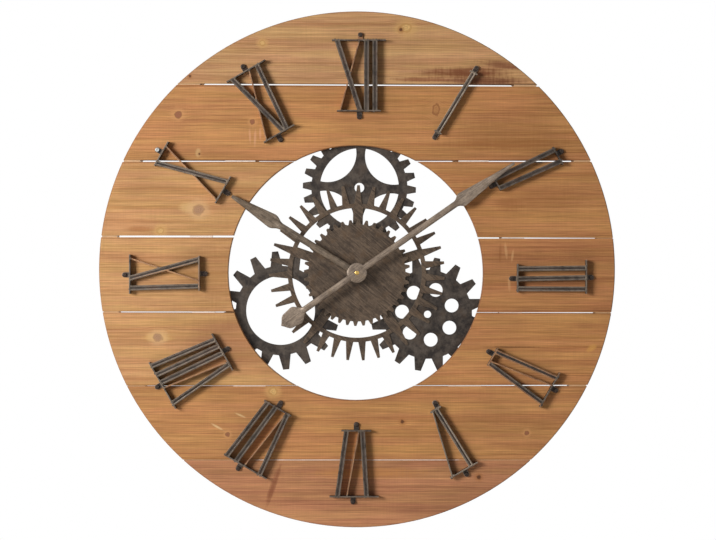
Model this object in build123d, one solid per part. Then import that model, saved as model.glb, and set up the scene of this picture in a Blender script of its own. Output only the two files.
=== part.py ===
"""Large round wall clock: pine boards on two rear hoops, five flat iron gears, roman numerals.

Millimetres. X runs to the right, Z up, and the front faces -Y. The origin lies on the axis of the hands,
in the plane of the wall. A depth is a distance out from the wall, towards the front.
"""

import os
from math import asin, atan2, cos, degrees, hypot, radians, sin, sqrt

from build123d import *

os.makedirs("parts", exist_ok=True)

# Dial boards
rim_radius = 400.0
rim_rise = 5.5
opening_radius = 197.5
opening_shift = -2.0
board_thickness = 12.0
board_arris = 1.0
open_joint = 2.6
closed_joint = 0.5
middle_joint_shares = (0.876, 0.281, -0.308, -0.889)
outer_joint_shares = (0.508, 0.519)

# Rear hoops
hoop_depth = 22.0
hoop_setback = 2.0
outer_hoop_width = 22.0
inner_hoop_width = 12.4
inner_hoop_margin = 6.5
hoop_arcs = 6
hoop_joint = 0.2
hoop_joint_angle = 6.0

# Flat gears
gear_thickness = 2.0
top_gear_overlap = 23.3
left_gear_overlap = 27.3
right_gear_overlap = 18.7
top_gear_gap = 14.4
left_gear_gap = 10.2
right_gear_gap = 8.4
top_gear_angle = 88.4
left_gear_angle = 206.2
right_gear_angle = 329.6
top_tooth_angle = -2.3
left_tooth_angle = 5.4
right_tooth_angle = 12.7
top_gear_teeth = 24
side_gear_teeth = 16
ring_gear_tip_radius = 136.5
ring_gear_root_radius = 107.8
ring_gear_rim_width = 7.0
ring_gear_spoke_width = 15.5
ring_gear_hub_radius = 22.0
spike_root_width = 11.6
spike_tip_width = 4.2
disc_tip_radius = 82.5
disc_thickness = 1.5
disc_spacer_length = 4.0
disc_spacer_wall = 4.0

# Numerals
hour_angle = 30.0
numeral_height = 105.0
numeral_depth = 12.0
stroke_width = 7.5
groove_rim = 1.8
groove_depth = 1.0
strip_thickness = 2.0
lug_width = 8.0
lug_reach = 9.0
lug_thickness = 2.0

# Hands
hand_thickness = 1.5
hand_boss_radius = 15.8
hour_hand_length = 227.0
hour_stem_width = 10.4
hour_shoulder_bend = 9.0
hour_hand_standoff = 5.0
hour_collet_radius = 6.0
minute_hand_length = 296.0
minute_stem_width = 9.7
minute_tail_length = 142.0
minute_shoulder_bend = 5.0
minute_hand_standoff = 3.0
hour_hand_angle = 148.5
minute_hand_angle = 34.9

# Clock movement
case_depth = 16.0
case_wall = 1.5
case_corner = 3.0
case_drop = 2.0
case_lip = 0.8
bushing_radius = 4.0
bushing_bore_radius = 3.0
bushing_flange_radius = 7.0
bushing_flange_thickness = 1.0
bushing_spare = 1.0
rubber_washer_radius = 12.0
rubber_washer_thickness = 1.0
brass_washer_radius = 8.0
brass_washer_thickness = 0.8
hex_nut_radius = 6.5
hex_nut_thickness = 2.5
running_clearance = 0.05
pipe_wall = 1.1
pipe_spare = 0.8
arbor_step = 0.35
arbor_spare = 2.6
minute_nut_radius = 4.6
minute_nut_thickness = 3.0
train_module = 0.5
cannon_teeth = 12
setting_wheel_teeth = 36
setting_pinion_teeth = 10
hour_wheel_teeth = 40
wheel_thickness = 1.5
pinion_thickness = 3.0
train_gap = 0.6
setting_arbor_radius = 1.2
knob_radius = 7.5
knob_thickness = 3.2
knob_gap = 0.4
battery_radius = 7.25
battery_length = 49.5
battery_button_radius = 2.75
battery_button_length = 1.0
battery_gap = 0.35
contact_thickness = 0.5
contact_width = 9.0
contact_bow = 0.9
board_post_radius = 1.6
board_post_height = 2.0
circuit_thickness = 1.0
crystal_radius = 1.0
crystal_length = 6.0
stator_thickness = 0.8
coil_radius = 3.6
bobbin_flange_thickness = 1.2

# Screws and the hanging plate
pan_head_radius = 3.6
pan_head_height = 2.4
pan_shank_radius = 1.5
pan_grip = 8.0
board_screw_head_radius = 4.0
board_screw_shank_radius = 2.0
board_screw_tip_cover = 4.0
gear_screw_head_radius = 3.2
gear_screw_head_height = 2.0
gear_screw_shank_radius = 1.5
gear_screw_grip = 8.0
hanger_width = 56.0
hanger_height = 42.0
hanger_thickness = 2.0
hanger_corner = 6.0
hanger_hold = 16.0
hanger_clearance = 0.3
hanger_hole_radius = 5.0
hanger_hole_edge = 12.0
hanger_screw_spacing = 34.0
hanger_screw_length = 14.0
overrun = 1.0

# Depths of the layers, out from the wall
board_back = hoop_depth
board_front = board_back + board_thickness
gear_back = board_back - gear_thickness
ring_gear_back = board_back
ring_gear_front = ring_gear_back + gear_thickness
disc_back = ring_gear_front + disc_spacer_length
disc_front = disc_back + disc_thickness
washer_front = disc_front + brass_washer_thickness
hex_nut_front = washer_front + hex_nut_thickness
bushing_front = hex_nut_front + bushing_spare
case_front = ring_gear_back - rubber_washer_thickness
case_back = case_front - case_depth
hour_hand_back = board_front + hour_hand_standoff
hour_hand_front = hour_hand_back + hand_thickness
minute_hand_back = board_front + numeral_depth + minute_hand_standoff
minute_hand_front = minute_hand_back + hand_thickness

# Places in the plane of the dial: the battery lies across the movement and sets its width
case_size = battery_length + battery_button_length + contact_bow \
    + 2 * (case_wall + contact_thickness + battery_gap)
case_top = case_size / 2 - case_drop
case_bottom = -case_size / 2 - case_drop
bay_height = 2 * (battery_radius + battery_gap)
bay_bottom = case_bottom + case_wall
bay_middle = bay_bottom + bay_height / 2
bay_ceiling = bay_bottom + bay_height
hour_pipe_radius = bushing_bore_radius - running_clearance
hour_pipe_bore_radius = hour_pipe_radius - pipe_wall
minute_arbor_radius = hour_pipe_bore_radius - running_clearance
minute_seat_radius = minute_arbor_radius - arbor_step
train_centre = train_module * (cannon_teeth + setting_wheel_teeth) / 2
hour_module = 2 * train_centre / (setting_pinion_teeth + hour_wheel_teeth)
tooth_root_shares = (1.15, 1.75)
tooth_tip_shares = (0.9, 0.85)
hour_wheel_reach = hour_module * (hour_wheel_teeth / 2 + tooth_tip_shares[0])
side_room = case_size / 2 - case_wall - hour_wheel_reach - 2 * train_gap
circuit_width_share = 0.8
stator_width_share = 0.72
bobbin_flange_share = 0.6
circuit_height_share = 0.46
coil_length_share = 0.34
circuit_width = circuit_width_share * side_room
stator_width = stator_width_share * side_room
bobbin_flange = bobbin_flange_share * side_room
circuit_height = circuit_height_share * case_size
coil_length = coil_length_share * case_size
numeral_radius = (rim_radius + opening_radius) / 2
inner_hoop_radius = opening_radius + max(top_gear_overlap, left_gear_overlap, right_gear_overlap) \
    + inner_hoop_margin
outer_hoop_radius = rim_radius - hoop_setback


def facing(x, z, depth, turn=0.0):
    """Frame at a place on the dial: its X and Y lie in the dial, and its Z points to the front."""
    return Plane.XZ.offset(depth) * Pos(x, z, 0) * Rot(0, 0, turn)


def rod(x, z, start, end, radius):
    """Round bar along the depth, from one depth to another."""
    return facing(x, z, start) * Cylinder(radius, end - start, align=(Align.CENTER, Align.CENTER, Align.MIN))


def pipe(x, z, start, end, radius, bore):
    """Round bar with a hole right through."""
    return rod(x, z, start, end, radius) - rod(x, z, start - overrun, end + overrun, bore)


def cone(x, z, start, end, start_radius, end_radius):
    """Round taper along the depth."""
    shape = Cone(start_radius, end_radius, end - start, align=(Align.CENTER, Align.CENTER, Align.MIN))
    return facing(x, z, start) * shape


def slab(face, depth, thickness):
    """Flat plate from an outline drawn in the dial's plane."""
    return extrude(Plane.XZ.offset(depth) * face, amount=thickness)


def box(x_range, z_range, depth_range):
    """Plain block between two places along each direction."""
    width = x_range[1] - x_range[0]
    height = z_range[1] - z_range[0]
    block = Box(width, height, depth_range[1] - depth_range[0], align=(Align.MIN, Align.MIN, Align.MIN))
    return facing(x_range[0], z_range[0], depth_range[0]) * block


def polar(radius, angle):
    """Point at a distance and an angle, anticlockwise from the right."""
    return (radius * cos(radians(angle)), radius * sin(radians(angle)))


def polygon(points):
    """Face inside a closed run of straight lines."""
    return make_face(Polyline(*points, close=True))


def ring_face(radius, bore):
    """Flat washer outline about its own centre."""
    return Circle(radius) - Circle(bore)


def toothed_face(teeth, root_radius, tip_radius, root_width, tip_width, phase):
    """Wheel outline whose tapered teeth stand at the phase and at equal steps from it."""
    points = []
    for index in range(teeth):
        middle = phase + 360 * index / teeth
        root_half = degrees(asin(root_width / 2 / root_radius))
        tip_half = degrees(asin(tip_width / 2 / tip_radius))
        points.append(polar(root_radius, middle - root_half))
        points.append(polar(tip_radius, middle - tip_half))
        points.append(polar(tip_radius, middle + tip_half))
        points.append(polar(root_radius, middle + root_half))
    return polygon(points)


def save(node, solids):
    """Write one sub-part, a single solid or a group of separate ones."""
    shape = Compound(children=list(solids)) if isinstance(solids, (list, tuple)) else solids
    export_step(shape, f"parts/{node}.step")


# Places of the three gears behind the boards: they reach under the boards and stop short of the movement
def gear_place(gap, overlap, angle):
    """Centre and tip radius of a gear that spans from the movement's side to under the boards."""
    inner_reach = case_size / 2 + case_drop + gap
    outer_reach = opening_radius + overlap
    centre = polar((inner_reach + outer_reach) / 2, angle)
    return centre, (outer_reach - inner_reach) / 2


top_centre, top_tip_radius = gear_place(top_gear_gap, top_gear_overlap, top_gear_angle)
left_centre, left_tip_radius = gear_place(left_gear_gap, left_gear_overlap, left_gear_angle)
right_centre, right_tip_radius = gear_place(right_gear_gap, right_gear_overlap, right_gear_angle)

side_tooth_shares = (0.104, 0.2)
gear_screw_share = 0.91


def gear_screw_places():
    """Screw holes in the two teeth beside the one that points most nearly outwards, on each gear."""
    places = []
    gears = (
        (top_centre, top_tip_radius, top_gear_teeth, top_tooth_angle, top_gear_angle),
        (left_centre, left_tip_radius, side_gear_teeth, left_tooth_angle, left_gear_angle),
        (right_centre, right_tip_radius, side_gear_teeth, right_tooth_angle, right_gear_angle),
    )
    for centre, tip_radius, teeth, phase, angle in gears:
        step = 360 / teeth
        nearest = phase + step * round((angle - phase) / step)
        for side in (-1, 1):
            point = polar(gear_screw_share * tip_radius, nearest + side * step)
            places.append((centre[0] + point[0], centre[1] + point[1]))
    return places


def gear_screws():
    """Pan head screws that hold the three gears to the backs of the boards."""
    screws = []
    for x, z in gear_screw_places():
        head = rod(x, z, gear_back - gear_screw_head_height, gear_back, gear_screw_head_radius)
        shank = rod(x, z, gear_back, board_back + gear_screw_grip, gear_screw_shank_radius)
        screws.append(head + shank)
    return screws


def with_gear_holes(plate):
    """Cut the screw holes that fall inside one gear."""
    for x, z in gear_screw_places():
        plate -= rod(x, z, gear_back - overrun, board_back + overrun, gear_screw_shank_radius)
    return plate


def gear_top():
    """Gear with a four-armed web whose sides curve in between the arms."""
    root_share = 0.849
    rim_share = 0.696
    tooth_shares = (0.095, 0.159)
    lens_centre_share = 0.83
    lens_radius_share = 0.51
    bore_share = 0.085
    tip = top_tip_radius
    face = toothed_face(top_gear_teeth, root_share * tip, tip, tooth_shares[1] * tip, tooth_shares[0] * tip,
                        top_tooth_angle)
    for arm in range(4):
        angle = 45 + 90 * arm + top_tooth_angle
        lens = Pos(*polar(lens_centre_share * tip, angle)) * Circle(lens_radius_share * tip)
        face -= lens & Circle(rim_share * tip)
    face -= Circle(bore_share * tip)
    return with_gear_holes(slab(Pos(*top_centre) * face, gear_back, gear_thickness))


def gear_left():
    """Gear with one large round hole."""
    root_share = 0.756
    hole_share = 0.58
    tip = left_tip_radius
    face = toothed_face(side_gear_teeth, root_share * tip, tip, side_tooth_shares[1] * tip,
                        side_tooth_shares[0] * tip, left_tooth_angle)
    face -= Circle(hole_share * tip)
    return with_gear_holes(slab(Pos(*left_centre) * face, gear_back, gear_thickness))


def gear_right():
    """Gear with a small centre hole and seven round holes about it."""
    root_share = 0.768
    hole_share = 0.12
    pitch_share = 0.449
    bore_share = 0.063
    hole_count = 7
    first_hole = 122.8
    tip = right_tip_radius
    face = toothed_face(side_gear_teeth, root_share * tip, tip, side_tooth_shares[1] * tip,
                        side_tooth_shares[0] * tip, right_tooth_angle)
    for index in range(hole_count):
        place = polar(pitch_share * tip, first_hole + 360 * index / hole_count)
        face -= Pos(*place) * Circle(hole_share * tip)
    face -= Circle(bore_share * tip)
    return with_gear_holes(slab(Pos(*right_centre) * face, gear_back, gear_thickness))


def ring_gear():
    """Thin spiked ring on five spokes, in front of the other three."""
    spike_count = 35
    spoke_count = 5
    phase = 89.0
    inner_radius = ring_gear_root_radius - ring_gear_rim_width
    face = toothed_face(spike_count, ring_gear_root_radius, ring_gear_tip_radius, spike_root_width,
                        spike_tip_width, phase)
    face -= ring_face(inner_radius, ring_gear_hub_radius)
    for index in range(spoke_count):
        turn = phase + 360 * index / spoke_count
        length = inner_radius + ring_gear_rim_width / 2
        spoke = Rectangle(length, ring_gear_spoke_width, align=(Align.MIN, Align.CENTER))
        face += Rot(0, 0, turn) * spoke
    face -= Circle(bushing_radius)
    return slab(face, ring_gear_back, gear_thickness)


def saw_disc():
    """Solid disc with a fine toothed edge, in front of the spiked ring."""
    teeth = 40
    phase = 7.25
    root_share = 0.915
    tooth_shares = (0.042, 0.095)
    tip = disc_tip_radius
    face = toothed_face(teeth, root_share * tip, tip, tooth_shares[1] * tip, tooth_shares[0] * tip, phase)
    face -= Circle(bushing_radius)
    return slab(face, disc_back, disc_thickness)


# Boards of the dial
def row_edges():
    """Heights between the rows of board, from top to foot. The opening cuts the three middle rows."""
    middle = [share * opening_radius for share in middle_joint_shares]
    top, foot = rim_rise + rim_radius, rim_rise - rim_radius
    upper = middle[0] + outer_joint_shares[0] * (top - middle[0])
    lower = middle[-1] + outer_joint_shares[1] * (foot - middle[-1])
    return [top, upper, *middle, lower, foot]


def row_middles():
    """Height of each row's middle, top row first."""
    edges = row_edges()
    return [(upper + lower) / 2 for upper, lower in zip(edges, edges[1:])]


def board_screw_places():
    """Two screws through the outer hoop into each board, and two through the inner one where they cross."""
    outer = outer_hoop_radius - outer_hoop_width / 2
    inner = inner_hoop_radius + inner_hoop_width / 2
    places = []
    for height in row_middles():
        reach = sqrt(outer ** 2 - (height - rim_rise) ** 2)
        places += [(-reach, height), (reach, height)]
        if abs(height) < inner:
            reach = sqrt(inner ** 2 - height ** 2)
            places += [(opening_shift - reach, height), (opening_shift + reach, height)]
    return places


def board_screws():
    """Countersunk wood screws, driven from the back through the hoops into the boards."""
    head_length = board_screw_head_radius - board_screw_shank_radius
    tip = board_front - board_screw_tip_cover
    screws = []
    for x, z in board_screw_places():
        head = cone(x, z, 0, head_length, board_screw_head_radius, board_screw_shank_radius)
        screws.append(head + rod(x, z, head_length, tip, board_screw_shank_radius))
    return screws


def dial_face():
    """The whole dial: a round board with an off-centre round opening."""
    return Pos(0, rim_rise) * Circle(rim_radius) - Pos(opening_shift, 0) * Circle(opening_radius)


def board_strip(index):
    """Band of the dial that one row of board fills, without the joints beside it."""
    gaps = [0] + [open_joint] * 5 + [closed_joint] + [0]
    edges = row_edges()
    upper = edges[index] - gaps[index] / 2
    lower = edges[index + 1] + gaps[index + 1] / 2
    band = Pos(0, (upper + lower) / 2) * Rectangle(2 * rim_radius, upper - lower)
    return dial_face() & band


def board(face):
    """One board: sawn to the dial's curves, its front edges eased, and drilled for its screws."""
    solid = slab(face, board_back, board_thickness)
    front = solid.faces().sort_by(Axis.Y)[0]
    solid = chamfer(front.edges(), board_arris)
    reach = solid.bounding_box()
    for screw in [*board_screws(), *numeral_screws(), *gear_screws()]:
        place = screw.center()
        aside = max(reach.min.X - place.X, place.X - reach.max.X)
        above = max(reach.min.Z - place.Z, place.Z - reach.max.Z)
        if max(aside, above) < board_screw_head_radius:
            solid -= screw
    return solid


def boards():
    """Ten boards in seven rows; the opening cuts the three middle rows in two."""
    rows = ("top", "upper", "high", "middle", "low", "lower", "bottom")
    result = {}
    for index, row in enumerate(rows):
        pieces = board_strip(index).faces().sort_by(Axis.X)
        if len(pieces) == 1:
            result[f"board_{row}"] = board(pieces[0])
        else:
            result[f"board_{row}_left"] = board(pieces[0])
            result[f"board_{row}_right"] = board(pieces[-1])
    return result


# Hoops behind the boards
def hoop(x, z, radius, bore):
    """Plywood hoop, butted from arcs and countersunk at the back for the board screws that pass through it."""
    solid = pipe(x, z, 0, hoop_depth, radius, bore)
    corner = (Align.MIN, Align.CENTER, Align.MIN)
    cut = Box(radius + overrun, hoop_joint, hoop_depth + 2 * overrun, align=corner)
    for arc in range(hoop_arcs):
        solid -= facing(x, z, -overrun, hoop_joint_angle + 360 * arc / hoop_arcs) * cut
    middle = (radius + bore) / 2
    head_length = board_screw_head_radius - board_screw_shank_radius
    for screw_x, screw_z in board_screw_places():
        if abs(hypot(screw_x - x, screw_z - z) - middle) < (radius - bore) / 2:
            solid -= rod(screw_x, screw_z, -overrun, hoop_depth + overrun, board_screw_shank_radius)
            solid -= cone(screw_x, screw_z, 0, head_length, board_screw_head_radius, board_screw_shank_radius)
    return solid


def hanger_outline(margin):
    """Outline of the hanging plate, which spans from the outer hoop down into the space inside it."""
    top = rim_rise + outer_hoop_radius - outer_hoop_width + hanger_hold
    shape = RectangleRounded(hanger_width + 2 * margin, hanger_height + 2 * margin, hanger_corner)
    return Pos(0, top - hanger_height / 2) * shape


def hanger_screw_places():
    """Two screws, side by side, through the plate into the hoop."""
    z = rim_rise + outer_hoop_radius - outer_hoop_width + hanger_hold / 2
    return [(-hanger_screw_spacing / 2, z), (hanger_screw_spacing / 2, z)]


def hanger_screws():
    """Countersunk screws of the hanging plate."""
    head_length = board_screw_head_radius - board_screw_shank_radius
    screws = []
    for x, z in hanger_screw_places():
        head = cone(x, z, 0, head_length, board_screw_head_radius, board_screw_shank_radius)
        screws.append(head + rod(x, z, head_length, hanger_screw_length, board_screw_shank_radius))
    return screws


def hoop_outer():
    """Outer hoop, with a shallow seat for the hanging plate."""
    solid = hoop(0, rim_rise, outer_hoop_radius, outer_hoop_radius - outer_hoop_width)
    solid -= slab(hanger_outline(hanger_clearance), -overrun, hanger_thickness + overrun)
    for screw in hanger_screws():
        solid -= screw
    return solid


def hoop_inner():
    """Inner hoop, close round the three gears."""
    return hoop(opening_shift, 0, inner_hoop_radius + inner_hoop_width, inner_hoop_radius)


def hanger_plate():
    """Steel plate with the hole that hangs on a screw in the wall."""
    hole_z = rim_rise + outer_hoop_radius - outer_hoop_width - hanger_hole_edge
    solid = slab(hanger_outline(0), 0, hanger_thickness)
    solid -= rod(0, hole_z, -overrun, hanger_thickness + overrun, hanger_hole_radius)
    for screw in hanger_screws():
        solid -= screw
    return solid


# Numerals. Each stroke is (kind, place at its outer end, place at its inner end), each end strip and each
# pair of screw lugs gives its places the same way. Places are shares of the numeral's height, clockwise
# from the hour's own direction, and so is each numeral's own shift (inner end, outer end) along it.
numeral_shares = {
    1: {"strokes": [("bar", 0.04, 0.02)], "outer": (-0.02, 0.1), "inner": (-0.04, 0.08), "lugs": (0.04, 0.02),
        "shift": (0.0, 0.02)},
    2: {"strokes": [("bar", -0.07, -0.14), ("bar", 0.12, 0.015)], "outer": (-0.12, 0.18),
        "inner": (-0.18, 0.05), "lugs": (0.0, -0.07), "shift": (0.07, 0.05)},
    3: {"strokes": [("bar", -0.02, -0.01), ("bar", 0.12, 0.14), ("bar", 0.29, 0.285)], "outer": (-0.14, 0.36),
        "inner": (-0.08, 0.34), "lugs": (0.12, 0.135), "shift": (0.02, 0.03)},
    4: {"strokes": [("strip", 0.045, 0.19), ("bar", -0.08, 0.03), ("bar", 0.34, 0.23)],
        "outer": (-0.175, 0.415), "inner": (-0.03, 0.27), "lugs": (0.08, 0.08), "shift": (0.03, 0.0)},
    5: {"strokes": [("strip", 0.31, 0.08), ("bar", -0.01, 0.02)], "outer": (-0.12, 0.35),
        "inner": (-0.06, 0.11), "lugs": (0.11, -0.01), "shift": (0.02, 0.0)},
    6: {"strokes": [("strip", 0.15, -0.03), ("bar", 0.29, 0.155), ("bar", -0.14, -0.08)],
        "outer": (-0.32, 0.405), "inner": (-0.205, 0.23), "lugs": (0.06, 0.01), "shift": (0.03, 0.0)},
    7: {"strokes": [("strip", -0.01, -0.155), ("bar", 0.29, 0.16), ("bar", 0.13, 0.02), ("bar", -0.27, -0.18)],
        "outer": (-0.39, 0.335), "inner": (-0.24, 0.22), "lugs": (0.05, -0.01), "shift": (0.01, -0.01)},
    8: {"strokes": [("strip", -0.09, -0.23), ("bar", 0.28, 0.15), ("bar", 0.13, 0.04), ("bar", 0.0, -0.08),
                    ("bar", -0.35, -0.27)],
        "outer": (-0.445, 0.345), "inner": (-0.37, 0.25), "lugs": (-0.03, -0.06), "shift": (-0.02, -0.01)},
    9: {"strokes": [("strip", 0.165, -0.17), ("bar", -0.13, 0.15), ("bar", -0.275, -0.245)],
        "outer": (-0.36, 0.22), "inner": (-0.315, 0.2), "lugs": (-0.08, -0.065), "shift": (-0.02, 0.0)},
    10: {"strokes": [("strip", 0.165, -0.15), ("bar", -0.12, 0.16)], "outer": (-0.17, 0.24),
         "inner": (-0.2, 0.255), "lugs": (0.055, 0.02), "shift": (-0.05, 0.0)},
    11: {"strokes": [("strip", 0.095, -0.205), ("bar", -0.19, 0.08), ("bar", 0.23, 0.14)],
         "outer": (-0.285, 0.37), "inner": (-0.255, 0.265), "lugs": (0.04, -0.02), "shift": (-0.04, 0.0)},
    12: {"strokes": [("strip", 0.035, -0.25), ("bar", -0.295, 0.045), ("bar", 0.14, 0.14),
                     ("bar", 0.265, 0.265)],
         "outer": (-0.37, 0.425), "inner": (-0.295, 0.35), "lugs": (0.05, 0.035), "shift": (-0.01, 0.03)},
}


def numeral_ends(shares):
    """Radii of a numeral's inner and outer end strips, from the rim's centre."""
    inner = numeral_radius - numeral_height / 2 + shares["shift"][0] * numeral_height
    outer = numeral_radius + numeral_height / 2 + shares["shift"][1] * numeral_height
    return inner, outer


def strip_face(start, end, width):
    """Straight strip between two points."""
    run = (end[0] - start[0], end[1] - start[1])
    length = hypot(*run)
    middle = ((start[0] + end[0]) / 2, (start[1] + end[1]) / 2)
    return Pos(*middle) * Rot(0, 0, degrees(atan2(run[1], run[0]))) * Rectangle(length, width)


def lug_places(shares):
    """Centres of a numeral's two screw lugs, in the numeral's own directions."""
    inner, outer = numeral_ends(shares)
    outer_x, inner_x = (share * numeral_height for share in shares["lugs"])
    return [(outer_x, outer, outer + lug_reach), (inner_x, inner, inner - lug_reach)]


def numeral(hour):
    """One numeral: grooved bars and thin strips on edge, welded to an end strip at each end, with lugs."""
    shares = numeral_shares[hour]
    inner, outer = numeral_ends(shares)
    frame = facing(0, rim_rise, board_front, -hour_angle * hour)
    tall = None
    grooves = []
    for kind, outer_share, inner_share in shares["strokes"]:
        ends = (outer_share * numeral_height, outer), (inner_share * numeral_height, inner)
        width = stroke_width if kind == "bar" else strip_thickness
        bar = extrude(strip_face(*ends, width), amount=numeral_depth)
        tall = bar if tall is None else tall + bar
        if kind == "bar":
            groove = extrude(strip_face(*ends, stroke_width - 2 * groove_rim), amount=groove_depth + overrun)
            grooves.append(Pos(0, 0, numeral_depth - groove_depth) * groove)
    for groove in grooves:
        tall -= groove
    for radius, places in ((outer, shares["outer"]), (inner, shares["inner"])):
        ends = [(place * numeral_height, radius) for place in places]
        tall += extrude(strip_face(*ends, strip_thickness), amount=numeral_depth)
    for x, root, end in lug_places(shares):
        tab = strip_face((x, root), (x, end), lug_width) + Pos(x, end) * Circle(lug_width / 2)
        tab -= Pos(x, end) * Circle(pan_shank_radius)
        tall += extrude(tab, amount=lug_thickness)
    return frame * tall


def numeral_screws():
    """Pan head screws through the numerals' lugs into the boards."""
    screws = []
    for hour, shares in numeral_shares.items():
        for x, _, radius in lug_places(shares):
            angle = radians(hour_angle * hour)
            place_x = x * cos(angle) + radius * sin(angle)
            place_z = rim_rise - x * sin(angle) + radius * cos(angle)
            seat = board_front + lug_thickness
            head = cone(place_x, place_z, seat, seat + pan_head_height, pan_head_radius, pan_head_radius / 2)
            shank = rod(place_x, place_z, board_front - pan_grip, seat, pan_shank_radius)
            screws.append(head + shank)
    return screws


# Hands
def hand_face(profile, bend, bore):
    """Hand outline along the local X, from half widths at distances from the arbor, with a round boss."""
    mirrored = [(x, -half) for x, half in reversed(profile) if half > 0]
    face = polygon(profile + mirrored)
    first, last = profile[0][0], profile[-1][0]
    corners = [corner for corner in face.vertices() if first + overrun < corner.X < last - overrun]
    return fillet(corners, bend) + Circle(hand_boss_radius) - Circle(bore)


def hour_hand():
    """Short hand: a straight stem, a broad shoulder and a long taper, on a collet that grips its pipe."""
    neck_share = 0.617
    shoulder_share = 0.668
    shoulder_width_share = 0.052
    tip_width_share = 0.011
    length = hour_hand_length
    half_stem = hour_stem_width / 2
    profile = [(0, half_stem), (neck_share * length, half_stem),
               (shoulder_share * length, shoulder_width_share * length), (length, tip_width_share * length)]
    face = Rot(0, 0, hour_hand_angle) * hand_face(profile, hour_shoulder_bend, hour_pipe_radius)
    collet = pipe(0, 0, bushing_front + knob_gap, hour_hand_back, hour_collet_radius, hour_pipe_radius)
    return slab(face, hour_hand_back, hand_thickness) + collet


def minute_hand():
    """Long hand with a shouldered point, and a spade-shaped tail on the other side of the arbor."""
    point_shares = ((0.636, None), (0.662, 0.0385),(0.856, 0.0179), (0.914, 0.0128), (1.0, 0.0063))
    tail_shares = ((1.0, 0.0), (0.94, 0.085), (0.79, 0.108), (0.711, None))
    half_stem = minute_stem_width / 2
    profile = []
    for shares, length in ((tail_shares, -minute_tail_length), (point_shares, minute_hand_length)):
        for place, half in shares:
            profile.append((place * length, half_stem if half is None else half * abs(length)))
    face = Rot(0, 0, minute_hand_angle) * hand_face(profile, minute_shoulder_bend, minute_seat_radius)
    return slab(face, minute_hand_back, hand_thickness)


# Movement
def train_face(teeth, module, phase):
    """Small clock gear outline with slim teeth, so that a pair runs with backlash."""
    pitch = module * teeth / 2
    return toothed_face(teeth, pitch - tooth_root_shares[0] * module, pitch + tooth_tip_shares[0] * module,
                        tooth_root_shares[1] * module, tooth_tip_shares[1] * module, phase)


hour_wheel_front = case_front - case_wall - bushing_flange_thickness - train_gap
hour_wheel_back = hour_wheel_front - wheel_thickness
setting_pinion_front = case_front - case_wall - train_gap
setting_wheel_front = setting_pinion_front - pinion_thickness
setting_wheel_back = setting_wheel_front - wheel_thickness
cannon_front = hour_wheel_back - train_gap
cannon_back = cannon_front - pinion_thickness
cover_front = case_back + case_wall


def case_outline(inset):
    """Rounded square outline of the movement."""
    size = case_size - 2 * inset
    return Pos(0, -case_drop) * RectangleRounded(size, size, max(case_corner - inset, case_lip / 2))


def circuit_place():
    """Middle of the circuit board, left of the wheels."""
    x = -case_size / 2 + case_wall + train_gap + circuit_width / 2
    return x, case_top - case_wall - train_gap - circuit_height / 2


def stator_place():
    """Middle of the stator plate, right of the wheels."""
    x = case_size / 2 - case_wall - train_gap - stator_width / 2
    return x, case_top - case_wall - train_gap - circuit_height / 2


def post_places():
    """Posts under the circuit board and the stator, one near each end."""
    places = []
    for x, z in (circuit_place(), stator_place()):
        for side in (-1, 1):
            places.append((x, z + side * (circuit_height / 2 - 2 * board_post_radius)))
    return places


def movement_case():
    """Open-backed tub with posts, the battery bay's ceiling and a boss for the setting arbor."""
    floor = case_front - case_wall
    solid = slab(case_outline(0), cover_front, case_front - cover_front)
    solid -= slab(case_outline(case_wall), cover_front - overrun, floor - cover_front + overrun)
    half = case_size / 2 - case_wall / 2
    solid += box((-half, half), (bay_ceiling, bay_ceiling + case_wall), (cover_front, floor))
    for x, z in post_places():
        solid += rod(x, z, floor - board_post_height, floor, board_post_radius)
    solid -= rod(0, 0, floor - overrun, case_front + overrun, bushing_radius)
    pivot = setting_arbor_radius + running_clearance
    solid -= rod(0, train_centre, floor - overrun, floor + case_wall / 2, pivot)
    return solid


def movement_cover():
    """Back cover, open over the battery, with the hole for the setting arbor."""
    solid = slab(case_outline(0), case_back, case_wall)
    solid += slab(case_outline(case_wall + case_lip) - case_outline(2 * case_wall + case_lip), cover_front,
                  case_lip)
    half = case_size / 2 - case_wall
    solid -= box((-half, half), (bay_bottom, bay_ceiling), (case_back - overrun, cover_front + case_size))
    solid -= box((-case_size, case_size), (bay_bottom - case_size, bay_ceiling + case_wall + case_lip),
                 (cover_front, cover_front + case_size))
    solid -= rod(0, train_centre, case_back - overrun, cover_front + overrun,
                 setting_arbor_radius + running_clearance)
    return solid


def movement_bushing():
    """Threaded brass tube that clamps the movement to the gears, with a flange inside the case."""
    floor = case_front - case_wall
    solid = rod(0, 0, floor - bushing_flange_thickness, floor, bushing_flange_radius)
    solid += rod(0, 0, floor, bushing_front, bushing_radius)
    solid -= rod(0, 0, floor - case_depth, bushing_front + overrun, bushing_bore_radius)
    return solid


def hex_nut():
    """Six-sided nut on the bushing."""
    face = RegularPolygon(hex_nut_radius, 6) - Circle(bushing_radius)
    return slab(face, washer_front, hex_nut_thickness)


def hour_wheel():
    """Toothed wheel on the pipe that carries the hour hand."""
    phase = 90 + 180 / hour_wheel_teeth
    face = train_face(hour_wheel_teeth, hour_module, phase) - Circle(hour_pipe_bore_radius)
    tube = pipe(0, 0, hour_wheel_back, hour_hand_front + pipe_spare, hour_pipe_radius, hour_pipe_bore_radius)
    return slab(face, hour_wheel_back, wheel_thickness) + tube


def minute_arbor():
    """Arbor with its pinion, stepped and tipped for the minute hand and its nut."""
    solid = slab(train_face(cannon_teeth, train_module, 90), cannon_back, cannon_front - cannon_back)
    solid += rod(0, 0, cover_front + train_gap, minute_hand_back, minute_arbor_radius)
    solid += rod(0, 0, minute_hand_back, minute_hand_front + arbor_spare, minute_seat_radius)
    return solid


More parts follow.
